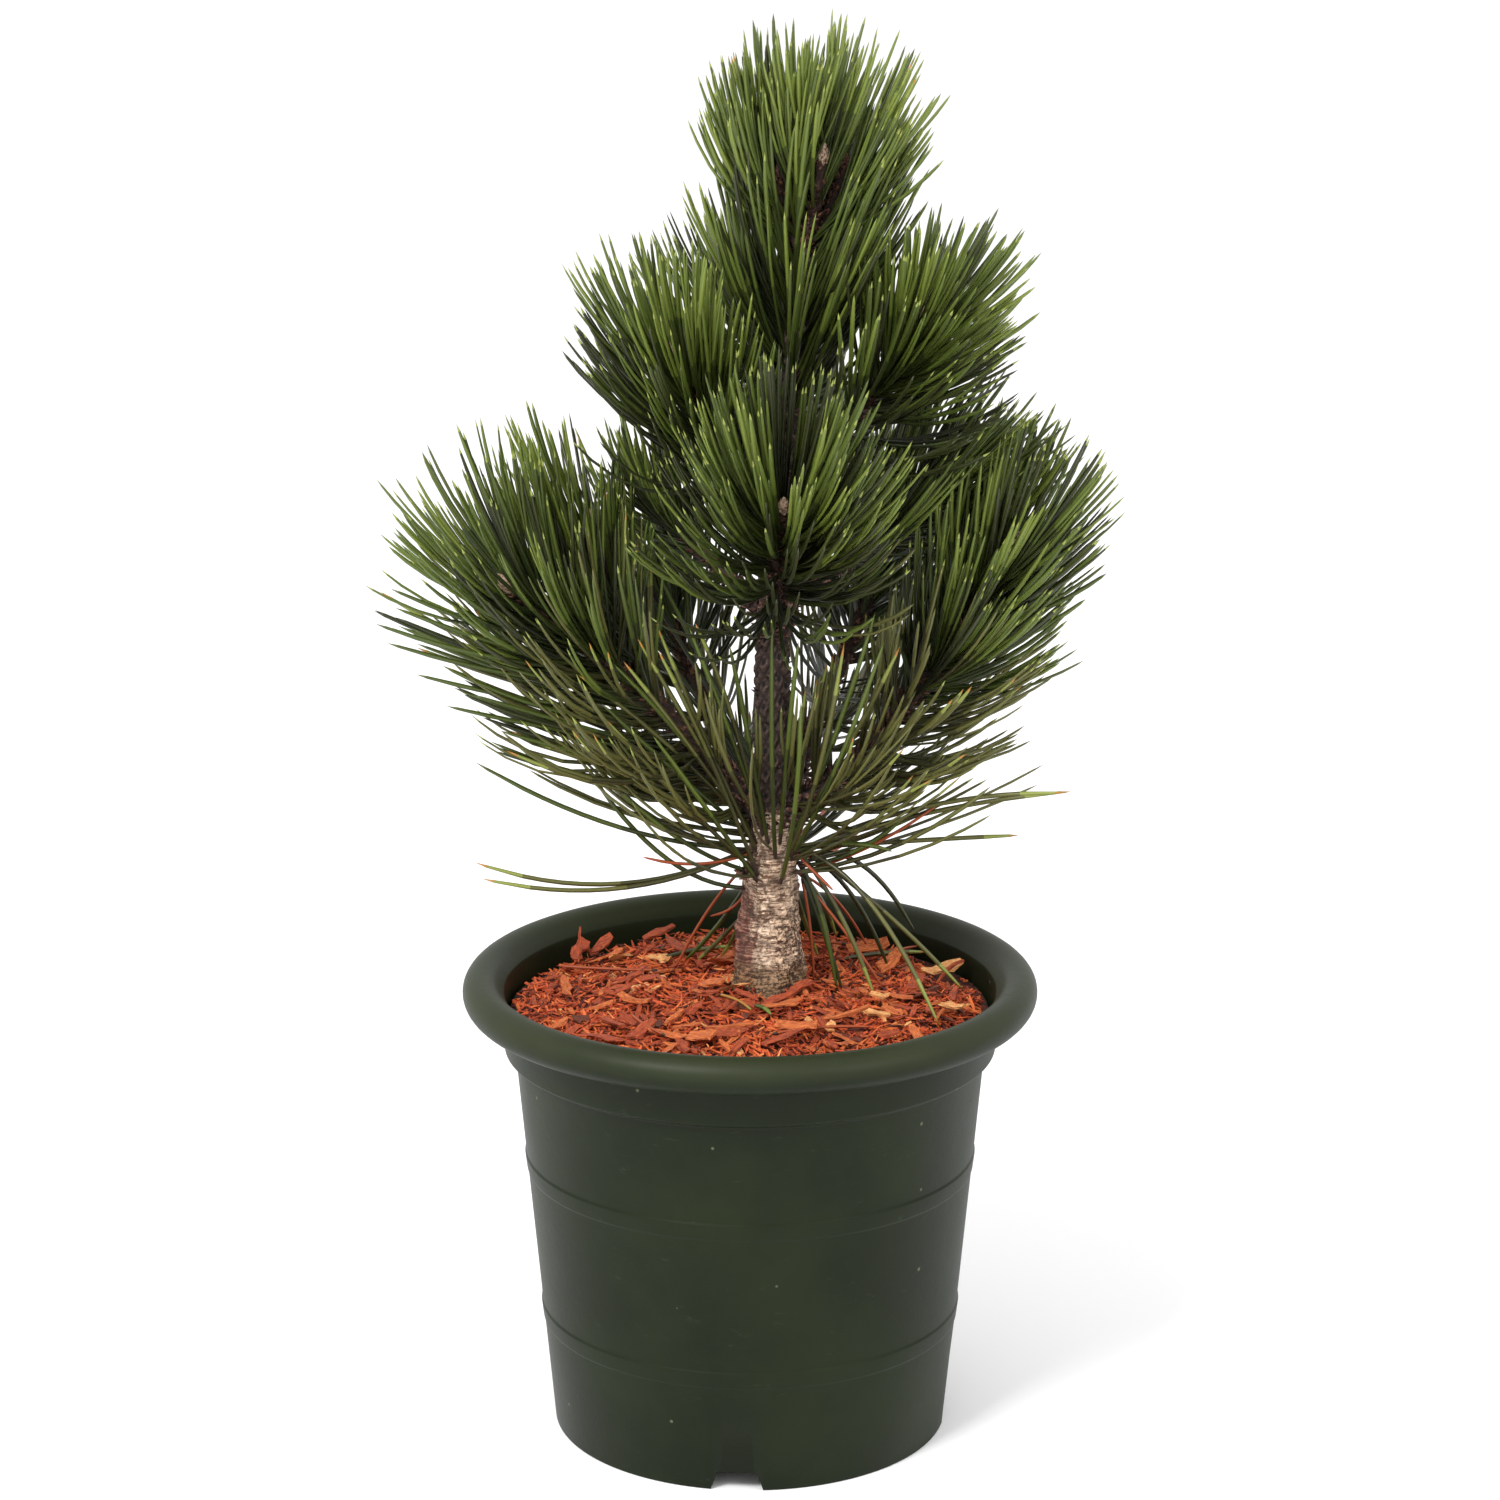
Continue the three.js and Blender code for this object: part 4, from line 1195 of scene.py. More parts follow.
def old_plates(finish, place, fleck, streak, patch):
    """Pale flaking plates with dark cracks, purple on the left, brown on the right, mossy at the foot."""
    x, _, z = finish.parts_of(place)
    pale = finish.blend(finish.ease(streak, 0.42, 0.54), paint(112, 78, 55), paint(252, 222, 192))
    pale = finish.blend(finish.ease(fleck * 0.45 + patch * 0.55, 0.5, 0.55) * 0.75, pale, paint(88, 62, 42))
    flaked = finish.ease(streak * 0.35 + fleck * 0.65, 0.48, 0.54)
    brown = finish.blend(flaked, paint(70, 42, 27), paint(244, 208, 174))
    side = x - (trunk_centre(200)[0] - OLD_WOOD_LEAN) * MM + (patch - 0.5) * 22 * MM
    shade = finish.ease(side, 0, 2.5 * MM) * (1 - finish.ease(z, 208 * MM, 222 * MM) * 0.7)
    plates = finish.blend(shade * 0.9, pale, brown)
    purple = (1 - finish.ease(side, -8 * MM, -5.5 * MM)) * (1 - finish.ease(z, 216 * MM, 228 * MM))
    bruise = finish.blend(finish.ease(streak, 0.45, 0.65), paint(86, 38, 31), paint(172, 112, 92))
    plates = finish.blend(purple * 0.9, plates, bruise)
    plates = finish.blend((1 - finish.own("crack")) * 0.8, plates, paint(60, 42, 31))
    moss = (1 - finish.ease(z + (fleck - 0.5) * 16 * MM, 187 * MM, 198 * MM)) * 0.85
    mossed = finish.ease(streak * 0.4 + fleck * 0.6, 0.47, 0.56)
    return finish.blend(moss, plates, finish.blend(mossed, paint(52, 35, 19), paint(158, 120, 80)))


# %% Bark finishes
def old_bark():
    """Old plates below, and brown lozenges with black scars above."""
    finish = Finish("old_bark", Roughness=0.82)
    place = finish.place()
    fleck = finish.noise(place, 1.3, 5, 0.75)
    streak = finish.noise(finish.stretched(place, (4, 4, 0.5)), 1.7, 4, 0.75)
    patch = finish.noise(finish.stretched(place, (1, 1, 2)), 7, 4, 0.6)
    plates = old_plates(finish, place, fleck, streak, patch)
    bloom = finish.blend(finish.ease(fleck, 0.35, 0.7), paint(58, 43, 37), paint(114, 91, 81))
    scaly = finish.blend(1 - finish.own("cushion"), bloom, paint(48, 34, 29))
    scaly = finish.blend(finish.own("scar"), scaly, paint(20, 13, 11))
    age = finish.ease(finish.own("age") + (patch - 0.5) * 0.8, 0.35, 0.6)
    finish.wear("Base Color", finish.blend(age, scaly, plates))
    finish.relief(fleck * 0.6 + streak * 0.4, 1.1, 0.9)
    return finish.material


def young_bark(name, low, high, furrow):
    finish = Finish(name, Roughness=0.75)
    fleck = finish.noise(finish.place(), 1.5, 4, 0.7)
    bloom = finish.blend(finish.ease(fleck, 0.35, 0.68), paint(*low), paint(*high))
    scaly = finish.blend(1 - finish.own("cushion"), bloom, paint(*furrow))
    scaly = finish.blend(finish.own("scar") * 0.8, scaly, paint(22, 14, 11))
    finish.wear("Base Color", scaly)
    finish.relief(fleck, 0.5, 0.7)
    return finish.material


# %% The trunk
OLD_WOOD_TOP = 262
OLD_WOOD_FADE = 14
LEAN_FADE = 30
FLARE_HEIGHT = 16
WAIST_HEIGHT = 219
WAIST_SPAN = 14
WAIST_DEPTH = 0.07
TRUNK_CAP = 4
TRUNK_STEPS = 90
z = np.linspace(GROUND, TRUNK_TOP + TRUNK_CAP, TRUNK_STEPS)
age = np.clip((OLD_WOOD_TOP - z) / OLD_WOOD_FADE, 0, 1)
flare = np.clip(1 - (z - GROUND) / FLARE_HEIGHT, 0, 1)
waist = 1 - WAIST_DEPTH * np.exp(-(((z - WAIST_HEIGHT) / WAIST_SPAN) ** 2))
old_share = np.clip((OLD_WOOD_TOP - z) / LEAN_FADE, 0, 1)
centres = trunk_centre(z) - old_share[:, None] * [OLD_WOOD_LEAN, 0, 0]
trunk_start = stem_lines([(centres, trunk_radius(z) * waist, age, flare)])
trunk = bark_stems.carry_out(
    "trunk_bark", trunk_start, Sides=112, Step=0.75 * MM, Cushion=1.4 * MM, Plate=0.8 * MM, Flare=0.06,
    Material=old_bark(),
)
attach(trunk, "root")
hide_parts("trunk")

# %% [markdown]
# ### Boughs and twigs
#
# The boughs are the bare feet of the branches, up to where the needles begin. The twigs are what runs on
# from there inside the needles to the buds. Both come from the same recipe, with fewer sides.

# %% Lines of the boughs and the twigs
COLLAR = 0.5
BOUGH_OVERLAP = 0.02
BRANCH_STEPS = 22
TOP_STEPS = 12
STUBS = [(227, 189, 13.5, 1.6), (231, 70, 13, 1.8), (214, 128, 15, 1.6)]
STUB_STARTS = 0.4
STUB_RISE = 0.2
STUB_PROFILE = np.array([1.5, 1.3, 1.1, 1, 0.9, 0.5])


def bough_radius(branch, t):
    """How thick a bough is, with a collar where it leaves the trunk."""
    collar = branch.thick * COLLAR * np.exp(-((t * branch.reach / (3 * branch.thick)) ** 2))
    return mix(branch.thick, branch.thick * BOUGH_TAPER, t / branch.bare) + collar


def twig_radius(shoot, first, t):
    """How thick a twig is, which tapers from its first point to its bud."""
    return mix(shoot.thick, TWIG_TIP_RADIUS, (t - first) / (1 - first))


def twig_line(shoot, first, steps):
    return line_of(shoot, first, 1, partial(twig_radius, shoot, first), steps)


def stub_line(height, heading, reach, thick):
    """A dead stub that stands out of the trunk and rises a little."""
    steps = np.linspace(STUB_STARTS, 1, len(STUB_PROFILE))[:, None]
    rise = steps**2 * [0, 0, STUB_RISE * reach]
    line = trunk_centre(height) + steps * reach * heading_of(heading) + rise
    return line, thick * STUB_PROFILE, np.zeros(len(line)), np.zeros(len(line))


bough_lines, twig_lines = [], []
for branch in BRANCHES:
    bough, *sides = masses[branch.name]
    bough_lines.append(line_of(bough, 0, branch.bare + BOUGH_OVERLAP, partial(bough_radius, branch)))
    twig_lines.append(twig_line(bough, branch.bare, BRANCH_STEPS))
    twig_lines += [twig_line(side, 0, BRANCH_STEPS) for side in sides]
twig_lines += [twig_line(shoot, 0, TOP_STEPS) for shoot in masses["leader"]]
bough_lines += [stub_line(*stub) for stub in STUBS]
print("boughs and stubs", len(bough_lines), "twigs", len(twig_lines))

# %% Bark on the boughs and the twigs
boughs = bark_stems.carry_out(
    "boughs_bark", stem_lines(bough_lines), Sides=36, Step=0.8 * MM, Cushion=0.8 * MM, Plate=0.0, Flare=0.0,
    Material=young_bark("bough_bark", (38, 26, 21), (76, 56, 46), (24, 16, 13)),
)
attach(boughs, "root")
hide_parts(*("bough_" + branch.name for branch in BRANCHES))

twigs = bark_stems.carry_out(
    "twigs", stem_lines(twig_lines), Sides=20, Step=1.2 * MM, Cushion=0.7 * MM, Plate=0.0, Flare=0.0,
    Material=young_bark("twig_bark", (54, 34, 26), (98, 66, 50), (34, 20, 15)),
)
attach(twigs, "root")

# %% [markdown]
# ### Buds and bracts
#
# A pine's winter bud is a pointed egg of overlapping scales, and the same kind of small dry scale stays
# on the young bark below, one under each pair of needles. One shape serves for both. For a bud, a
# recipe winds it in a spiral round an egg and sets a whole egg on the end of each shoot. For the bark,
# another recipe strews it over the twigs, the boughs and the young part of the trunk, each lying
# forward along its stem. The old wood at the foot has shed them.


# %% The shape of a scale
def pointed_scale(name, length=1.0, width=0.55, thick=0.12):
    """A leaf-shaped flake along X, hollowed a little, from its broad foot to its point."""
    share = np.array([0, 0.35, 0.7, 1])
    half_width = width / 2 * np.array([0.7, 1, 0.62, 0.04])
    lift = 0.1 * length * share**2
    corners = [(-1, -0.5), (1, -0.5), (1, 0.5), (-1, 0.5)]
    rows = [[share * length, a * half_width, lift + b * thick * (1.1 - share)] for a, b in corners]
    points = np.array(rows).transpose(2, 0, 1).reshape(-1, 3)
    ends = np.array([[3, 2, 1, 0], [12, 13, 14, 15]])
    return piece(name, mesh_of(name, points / MM, [grid_faces(len(share), 4), ends]))


# %% The parts of a bud
GOLDEN_TURN = math.radians(137.5)


def scale_spiral(recipe):
    """Scales in a spiral round an egg, smaller and steeper towards its point."""
    line = recipe.node("GeometryNodeMeshLine", None, {"Count": recipe.asked("Scales")})
    share = recipe.node("GeometryNodeInputIndex") / recipe.asked("Scales")
    turn = recipe.node("GeometryNodeInputIndex") * GOLDEN_TURN
    out = ((1 - share) * (0.62 * math.pi)).maths("SINE") * recipe.asked("Radius")
    rise = share * 0.85 * recipe.asked("Length")
    spot = recipe.vector(turn.maths("COSINE") * out, turn.maths("SINE") * out, rise)
    spiral = recipe.step("GeometryNodeSetPosition", line, Position=spot)
    shape = recipe.node("GeometryNodeObjectInfo", None, {0: recipe.asked("Shape")}, "Geometry")
    lean = recipe.vector(0, 0 - mix(math.radians(68), math.radians(86), share), turn)
    size = recipe.asked("Scale_Length") * (1.15 - 0.35 * share)
    return recipe.step("GeometryNodeInstanceOnPoints", spiral, Instance=shape, Rotation=lean, Scale=size)


def bud_core(recipe):
    """The egg under the scales."""
    ball = recipe.node("GeometryNodeMeshUVSphere", None, {"Segments": 12, "Rings": 8, "Radius": 1.0})
    half = recipe.asked("Length") / 2
    lift = recipe.vector(0, 0, half * 0.9)
    sizes = recipe.vector(recipe.asked("Radius") * 0.92, recipe.asked("Radius") * 0.92, half * 0.96)
    return recipe.step("GeometryNodeTransform", ball, Translation=lift, Scale=sizes)


# %% The bud recipe
def bud_recipe():
    """An egg of scales, set on each point along its forward direction."""
    recipe = Recipe(
        "scaly_buds", Shape="NodeSocketObject", Scales=int, Length=float, Radius=float, Scale_Length=float,
        Material="NodeSocketMaterial",
    )
    egg = recipe.tree.nodes.new("GeometryNodeJoinGeometry")
    for part in (bud_core(recipe), scale_spiral(recipe)):
        recipe.feed(egg.inputs[0], part)
    forward = {"Vector": recipe.written("forward", "FLOAT_VECTOR")}
    stance = recipe.node("FunctionNodeAlignRotationToVector", {"axis": "Z"}, forward)
    buds = recipe.step(
        "GeometryNodeInstanceOnPoints", recipe.asked("Geometry"), Instance=Wire(recipe, egg.outputs[0]),
        Rotation=stance, Scale=recipe.written("size"),
    )
    recipe.serve(buds)
    return recipe


# %% The finish of the buds
def bud_finish():
    """Dark red-brown scales with paler, resinous edges, and some buds pale all over."""
    finish = Finish("bud_scales", Roughness=0.55)
    fleck = finish.noise(finish.place(), 0.9, 3, 0.6)
    pale = finish.ease(finish.own("tone"), 0.55, 0.7)
    dark = finish.blend(finish.ease(fleck, 0.4, 0.66), paint(62, 30, 22), paint(128, 82, 62))
    light = finish.blend(finish.ease(fleck, 0.35, 0.62), paint(128, 92, 72), paint(214, 186, 160))
    finish.wear("Base Color", finish.blend(pale, dark, light))
    finish.relief(fleck, 0.3)
    return finish.material


# %% Set the buds
BUD_LENGTH = 10
BUD_RADIUS = 2.4
BUD_LIFT = 0.3
rng = np.random.default_rng(31)
shape = pointed_scale("bud_scale_shape")
all_shoots = [shoot for shoots in masses.values() for shoot in shoots]
tips = [along(shoot, 1) for shoot in all_shoots]
ways = [unit(ahead(shoot, 1) + BUD_LIFT * UP) for shoot in all_shoots]
sizes = rng.uniform(0.75, 1.1, len(tips))
heights = np.array(tips)[:, 2]
tones = np.where((heights < TRUNK_TOP) | (heights == heights.max()), 1.0, 0.0)
bud_points = mesh_of("bud_points", np.array(tips) - np.array(ways), forward=ways, size=sizes, tone=tones)
buds = bud_recipe().carry_out(
    "buds", bud_points, Shape=shape, Scales=34, Length=BUD_LENGTH * MM, Radius=BUD_RADIUS * MM,
    Scale_Length=3.4 * MM, Material=bud_finish(),
)
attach(buds, "root")


# %% The bract recipe
BRACT_LEAN = -48, -14
BRACT_TWIST = 0.5
BRACT_SMALLEST = 0.45


def bract_recipe():
    """Small dry scales all over a stem, lying forward along it."""
    recipe = Recipe(
        "bracts", Shape="NodeSocketObject", Per_Square_Metre=float, Longest=float, Seed=int,
        Material="NodeSocketMaterial",
    )
    spots = spots_on(recipe, recipe.asked("Per_Square_Metre") * (1 - recipe.written("age")))
    outward = {"Rotation": spots.beside("Rotation"), "Vector": recipe.written("forward", "FLOAT_VECTOR")}
    along_stem = recipe.node("FunctionNodeAlignRotationToVector", {"axis": "X", "pivot_axis": "Z"}, outward)
    steep, flat = (math.radians(lean) for lean in BRACT_LEAN)
    low, high = recipe.vector(0, steep, -BRACT_TWIST), recipe.vector(0, flat, BRACT_TWIST)
    stance = turned_on_spot(recipe, along_stem, low, high)
    shape = recipe.node("GeometryNodeObjectInfo", None, {0: recipe.asked("Shape")}, "Geometry")
    longest = recipe.asked("Longest")
    size = recipe.random(longest * BRACT_SMALLEST, longest, recipe.asked("Seed"))
    flakes = recipe.step("GeometryNodeInstanceOnPoints", spots, Instance=shape, Rotation=stance, Scale=size)
    recipe.serve(flakes)
    return recipe


# %% Set the bracts
def bract_finish(name, low, high):
    finish = Finish(name, Roughness=0.7)
    fleck = finish.noise(finish.place(), 2.5, 3, 0.6)
    finish.wear("Base Color", finish.blend(finish.ease(fleck, 0.42, 0.62), paint(*low), paint(*high)))
    return finish.material


def set_bracts(name, stems, per_square_metre, longest, seed, finish):
    made = bract_recipe().carry_out(
        name, stems.data.copy(), Shape=shape, Per_Square_Metre=per_square_metre, Longest=longest * MM,
        Seed=seed, Material=finish,
    )
    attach(made, "root")


set_bracts("bracts", twigs, 110000.0, 3.6, 8, bract_finish("twig_bract", (78, 46, 32), (140, 98, 74)))
set_bracts("bough_bracts", boughs, 120000.0, 5.2, 9, bract_finish("bough_bract", (52, 29, 23), (138, 98, 82)))
set_bracts("trunk_bracts", trunk, 24000.0, 3.0, 10, bract_finish("trunk_bract", (38, 26, 20), (84, 64, 53)))
bpy.data.objects.remove(shape)

# %% [markdown]
# ## Needles
#
# This pine bears its needles in pairs, stiff, slightly curved and densest towards the bud. Each pair
# springs from the stem at an angle that closes from the foot of a shoot to its bud, then bends forward
# and up to the light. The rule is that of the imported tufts, with each plain spray opened into a few
# pairs that lie nearly side by side. With thousands of needles, arrays are quicker than objects: all
# needles of a tuft are worked out at once and written into one mesh. A needle is a closed four-sided
# tube of few faces.

# %% Sizes of the needles
NEEDLE_LENGTH = 73
OLD_NEEDLE_LENGTH = 100
LOW_NEEDLE_LENGTH = 112
NEEDLE_WIDTH = 1.85
NEEDLE_THICKNESS = 1.3
NEEDLE_SIDES = 4
RINGS = np.array([0.012, 0.06, 0.22, 0.38, 0.54, 0.7, 0.86, 0.955])
FINE_RINGS = np.concatenate([[0.012, 0.06], np.arange(0.13, 0.9, 0.07), [0.955]])
WIDTH_AT = [0, 0.06, 0.3, 0.58, 0.84, 0.955], [0.78, 0.9, 0.96, 1, 0.93, 0.6]

# %% Needle finishes
needle_tones = {
    # shade is a painted shade: the tone of pairs deep inside the crown.
    "shade": ((22, 25, 13), (31, 35, 16)),
    "deep": ((34, 38, 18), (46, 51, 22)),
    "mid": ((50, 59, 24), (70, 82, 31)),
    "fresh": ((60, 71, 27), (86, 100, 38)),
    "bright": ((71, 83, 31), (107, 121, 48)),
    "old": ((63, 63, 33), (92, 92, 47)),
}
needle_finishes = []
# Each tone has two colours. The inner one, for the half of a needle nearer its root, is darker than the
# outer: partly the needle's older colour and partly painted shade near the stem.
for tone, shades in needle_tones.items():
    for part, colour in zip(("inner", "outer"), shades):
        needle_finishes.append(plain(f"needle_{tone}_{part}", colour, 0.35, Specular_IOR_Level=0.42))
needle_finishes += [
    plain("needle_sheath", (58, 42, 33), 0.7),
    plain("needle_tip", (132, 140, 64), 0.5),
    plain("needle_scorched", (164, 116, 46), 0.5),
    plain("needle_dead", (156, 72, 36), 0.55),
]
SHEATH, TIP, SCORCHED, DEAD = range(2 * len(needle_tones), len(needle_finishes))
SHADE, DEEP, MID, FRESH, BRIGHT, OLD = (2 * i for i in range(len(needle_tones)))


# %% The faces and the curve of a needle
def needle_template(rings):
    """The faces of one needle: a root fan, bands of four between rings, and a tip fan."""
    sides = np.arange(NEEDLE_SIDES)
    nexts = (sides + 1) % NEEDLE_SIDES
    last_ring = 1 + NEEDLE_SIDES * (len(rings) - 1)
    tip = last_ring + NEEDLE_SIDES
    root_fan = np.stack([np.zeros_like(sides), nexts + 1, sides + 1], axis=1)
    tip_fan = np.stack([sides + last_ring, nexts + last_ring, np.full_like(sides, tip)], axis=1)
    return np.concatenate([root_fan, tip_fan]), grid_faces(len(rings), NEEDLE_SIDES) + 1


def curves(starts, waists, ends, rings=RINGS):
    """Points at the root, the rings and the tip of each needle, on a curve that its waist pulls aside."""
    shares = np.concatenate([[0], rings, [1]])[None, :, None]
    near, far = (1 - shares) ** 2 * starts[:, None], shares**2 * ends[:, None]
    return near + 2 * shares * (1 - shares) * waists[:, None] + far


def needle_paths(roots, aims, bents, lengths):
    """Needles that set off along their aim and end along their bend."""
    half = lengths[:, None] / 2
    waists = roots + aims * half
    return curves(roots, waists, waists + bents * half)


# %% How needles become a mesh
def needles_mesh(name, paths, across, tones, tips, widths, rings=RINGS):
    """One mesh of all needles, with the finish of each face dealt out by needle and by place along it."""
    count = len(paths)
    forward = unit(np.gradient(paths, axis=1))[:, 1:-1]
    side = unit(across[:, None] - forward * np.sum(across[:, None] * forward, axis=-1, keepdims=True))
    lift = np.cross(forward, side)
    turns = math.tau * np.arange(NEEDLE_SIDES) / NEEDLE_SIDES
    spread = widths[:, None] * np.interp(rings, *WIDTH_AT) / 2
    flatness = NEEDLE_THICKNESS / NEEDLE_WIDTH
    rims = paths[:, 1:-1, None] + side[:, :, None] * (spread[..., None] * np.cos(turns))[..., None]
    rims = rims + lift[:, :, None] * (flatness * spread[..., None] * np.sin(turns))[..., None]
    points = np.concatenate([paths[:, :1], rims.reshape(count, -1, 3), paths[:, -1:]], axis=1)
    fans, bands = needle_template(rings)
    offsets = np.arange(count)[:, None, None] * points.shape[1]
    groups = [(fans + offsets).reshape(-1, 3), (bands + offsets).reshape(-1, 4)]
    mesh = mesh_of(name, points.reshape(-1, 3), groups)
    fan_slots = np.stack([np.full(count, SHEATH), tips], axis=1).repeat(NEEDLE_SIDES, axis=1)
    # The root half of each needle wears the darker inner colour: partly older colour, partly painted shade
    # near the stem.
    inner, outer = tones, np.where(tones < SHEATH, tones + 1, tones)
    middles = (rings[1:] + rings[:-1]) / 2
    band_slots = [np.full(count, SHEATH)] + [inner if middle < 0.5 else outer for middle in middles[1:]]
    band_slots[-1] = np.where(tips == SCORCHED, TIP, outer)
    slots = np.stack(band_slots, axis=1).repeat(NEEDLE_SIDES, axis=1)
    mesh.polygons.foreach_set("material_index", np.concatenate([fan_slots.ravel(), slots.ravel()]))
    return mesh


def crosswise(forward, rng):
    """A random direction square to each given one."""
    return unit(np.cross(forward, rng.normal(size=forward.shape)))


# %% [markdown]
# ### Where needles grow
#
# The n-th pair of numbers from a low-discrepancy sequence places the n-th spray: the first number says
# how far along the shoot, the second how far round it. That spreads sprays evenly without a grid. A
# spray then opens into pairs that differ a little in place and angle, which gives the combed bundles
# that a real shoot shows, with room for the eye between them. No two tufts of a plant are quite alike,
# so a few numbers for each say how much longer its young and old needles are than the rule has them,
# and which way they lean. A name that ends in PLAY says how far luck may move a number.

# %% Rules of growth
BUD_ZONE = 9
FIRST_NEEDLE = 0.03
ROOT_OUT = 0.7
SPOT_PLAY = 0.018, 0.03
OPEN_TILT = 74
CLOSED_TILT = 19
CLOSING = 0.65
TILT_PLAY = 6
START_SAG = 0.18
END_FORWARD = 0.4, 0.1
END_RISE = 0.85, 0.35
CROWDING = 0.8
LENGTH_PLAY = 0.84, 1.06
NUDGE = [1e-9, 0, 0]
UPRIGHT = 0.3
LEADER_UPRIGHT = 3.4
PLASTIC = 1.32471795724
PAIRS_PER_SPRAY = 4
LEADER_NEEDLES_FROM = 408
LEADER_SPRAYS = 42
LEADER_ROOTS = 2.5
LEADER_SHARES = 0.55, 0.82
LEADER_SHORTER = 0.92
LEADER_LENGTH_PLAY = 1, 1.15
LOW_NEEDLES = 228, 262
LOW_SPRAYS = 48
LOW_LENGTH_PLAY = 0.78, 1.04
BOWL_ROOTS = 6
BOWL_CROWDING = 1.2
BOWL_RISE = -0.02, 0.8
BOWL_CLIMB = 1.5, 4
BOWL_TILT = 0.24
BOWL_PLAY = 0.25
FRONT_THINNING = 0.74
BOUGH_SPRAYS = 18
BOUGH_NEEDLES = 0.15, 1.2
BOUGH_LENGTH_PLAY = 0.6, 1

# %% The shape of each tuft
Growth = namedtuple("Growth", "roots aims bents lengths freshness")
Shape = namedtuple("Shape", "longer old_longer lean")
SHAPES = {
    "left_low": Shape(1.03, 1.08, (0.07, 0, 0.12)),
    "right_low": Shape(0.95, 0.72, (0.07, 0, -0.05)),
    "left_mid": Shape(0.78, 0.78, (0.26, 0, -0.05)),
    "front_mid": Shape(1, 0.8, (0, 0, 0)),
    "right_mid": Shape(1.06, 1.06, (0.4, 0, 0.3)),
    "left_high": Shape(0.98, 0.98, (0.08, 0, 0.1)),
    "right_high": Shape(0.9, 0.86, (-0.05, 0, -0.17)),
    "leader": Shape(1, 1, (0.14, 0, 0.1)),
}
AS_THE_RULE = Shape(1, 1, (0, 0, 0))


# %% Where sprays stand and how they lean
def scattered(sprays, rng):
    """For each pair of needles, how far along and how far round its shoot it stands, both from 0 to 1."""
    n = np.arange(sprays).repeat(PAIRS_PER_SPRAY)
    far = (0.5 + n / PLASTIC) % 1 + rng.normal(0, SPOT_PLAY[0], len(n))
    return np.clip(far, 0, 1), (0.5 + n / PLASTIC**2) % 1 + rng.normal(0, SPOT_PLAY[1], len(n))


def leaning(forward, turn, share, rng):
    """The side on which needles leave a stem, their aim and their bend, closer to the stem as share grows."""
    across = unit(np.cross(UP, forward) + NUDGE)
    side = across * np.cos(turn)[:, None] + np.cross(forward, across) * np.sin(turn)[:, None]
    tilt = np.radians(mix(OPEN_TILT, CLOSED_TILT, share**CLOSING) + rng.normal(0, TILT_PLAY, len(share)))
    out = forward * np.cos(tilt)[:, None] + side * np.sin(tilt)[:, None]
    aim = unit(out - START_SAG * UP)
    bent = unit(out + forward * mix(*END_FORWARD, share)[:, None] + mix(*END_RISE, share)[:, None] * UP)
    return side, aim, bent


# %% Growth on shoots and on the trunk
def shoot_growth(shoot, upright, rng):
    """Pairs all along a shoot, from the old long ones at its foot to the young ones at its bud."""
    far, turn = scattered(shoot.sprays, rng)
    length = np.linalg.norm(np.diff(along(shoot, np.linspace(0, 1, 20)), axis=0), axis=1).sum()
    bud_zone = BUD_ZONE / (2 if shoot.closed else 1)
    t = mix(shoot.bare + FIRST_NEEDLE, 1 - bud_zone / length, far**CROWDING)
    forward = unit(ahead(shoot, t) + upright * UP)
    side, aim, bent = leaning(forward, math.tau * turn, mix(shoot.closed, 1, far), rng)
    thick = twig_radius(shoot, shoot.bare, t)
    young = NEEDLE_LENGTH * (LEADER_SHORTER if shoot.closed else 1)
    longest = young if shoot.joined else OLD_NEEDLE_LENGTH
    lengths = mix(longest, young, np.minimum(1, 2 * far)) * rng.uniform(*LENGTH_PLAY, len(far))
    freshness = mix(0.5, 1, far) if shoot.joined else far
    return Growth(along(shoot, t) + side * thick[:, None] * ROOT_OUT, aim, bent, lengths, freshness)


def leader_growth(rng):
    """Pairs that grow on the top of the trunk itself."""
    far, turn = scattered(LEADER_SPRAYS, rng)
    z = mix(LEADER_NEEDLES_FROM + 4, TRUNK_TOP, far)
    forward = unit(trunk_centre(z + 2) - trunk_centre(z - 2))
    side, aim, bent = leaning(forward, math.tau * turn, mix(*LEADER_SHARES, far), rng)
    lengths = NEEDLE_LENGTH * rng.uniform(*LEADER_LENGTH_PLAY, len(far))
    return Growth(trunk_centre(z) + side * LEADER_ROOTS, aim, bent, lengths, mix(0.5, 0.9, far))


# %% Growth of the old needles
def low_growth(rng):
    """The long old needles round the foot of the lowest boughs, in the shape of a bowl."""
    far, turn = scattered(LOW_SPRAYS, rng)
    out = heading_of(360 * turn)
    facing = np.maximum(0, -out[:, 1])
    climb = rng.uniform(0, 1, len(far)) ** BOWL_CROWDING
    start_rise = BOWL_CLIMB[0] * climb + BOWL_RISE[0] + BOWL_TILT * np.maximum(0, out[:, 0])
    end_rise = BOWL_CLIMB[1] * climb + BOWL_RISE[1]
    aim = unit(out + start_rise[:, None] * UP)
    bent = unit(out + end_rise[:, None] * UP + rng.normal(0, BOWL_PLAY, out.shape))
    roots = trunk_centre(mix(*LOW_NEEDLES, far)) + BOWL_ROOTS * out
    lengths = LOW_NEEDLE_LENGTH * rng.uniform(*LOW_LENGTH_PLAY, len(far))
    lengths = np.where(rng.uniform(0, 1, len(far)) < FRONT_THINNING * facing, 0, lengths)
    return Growth(roots, aim, bent, lengths, np.zeros(len(far)))


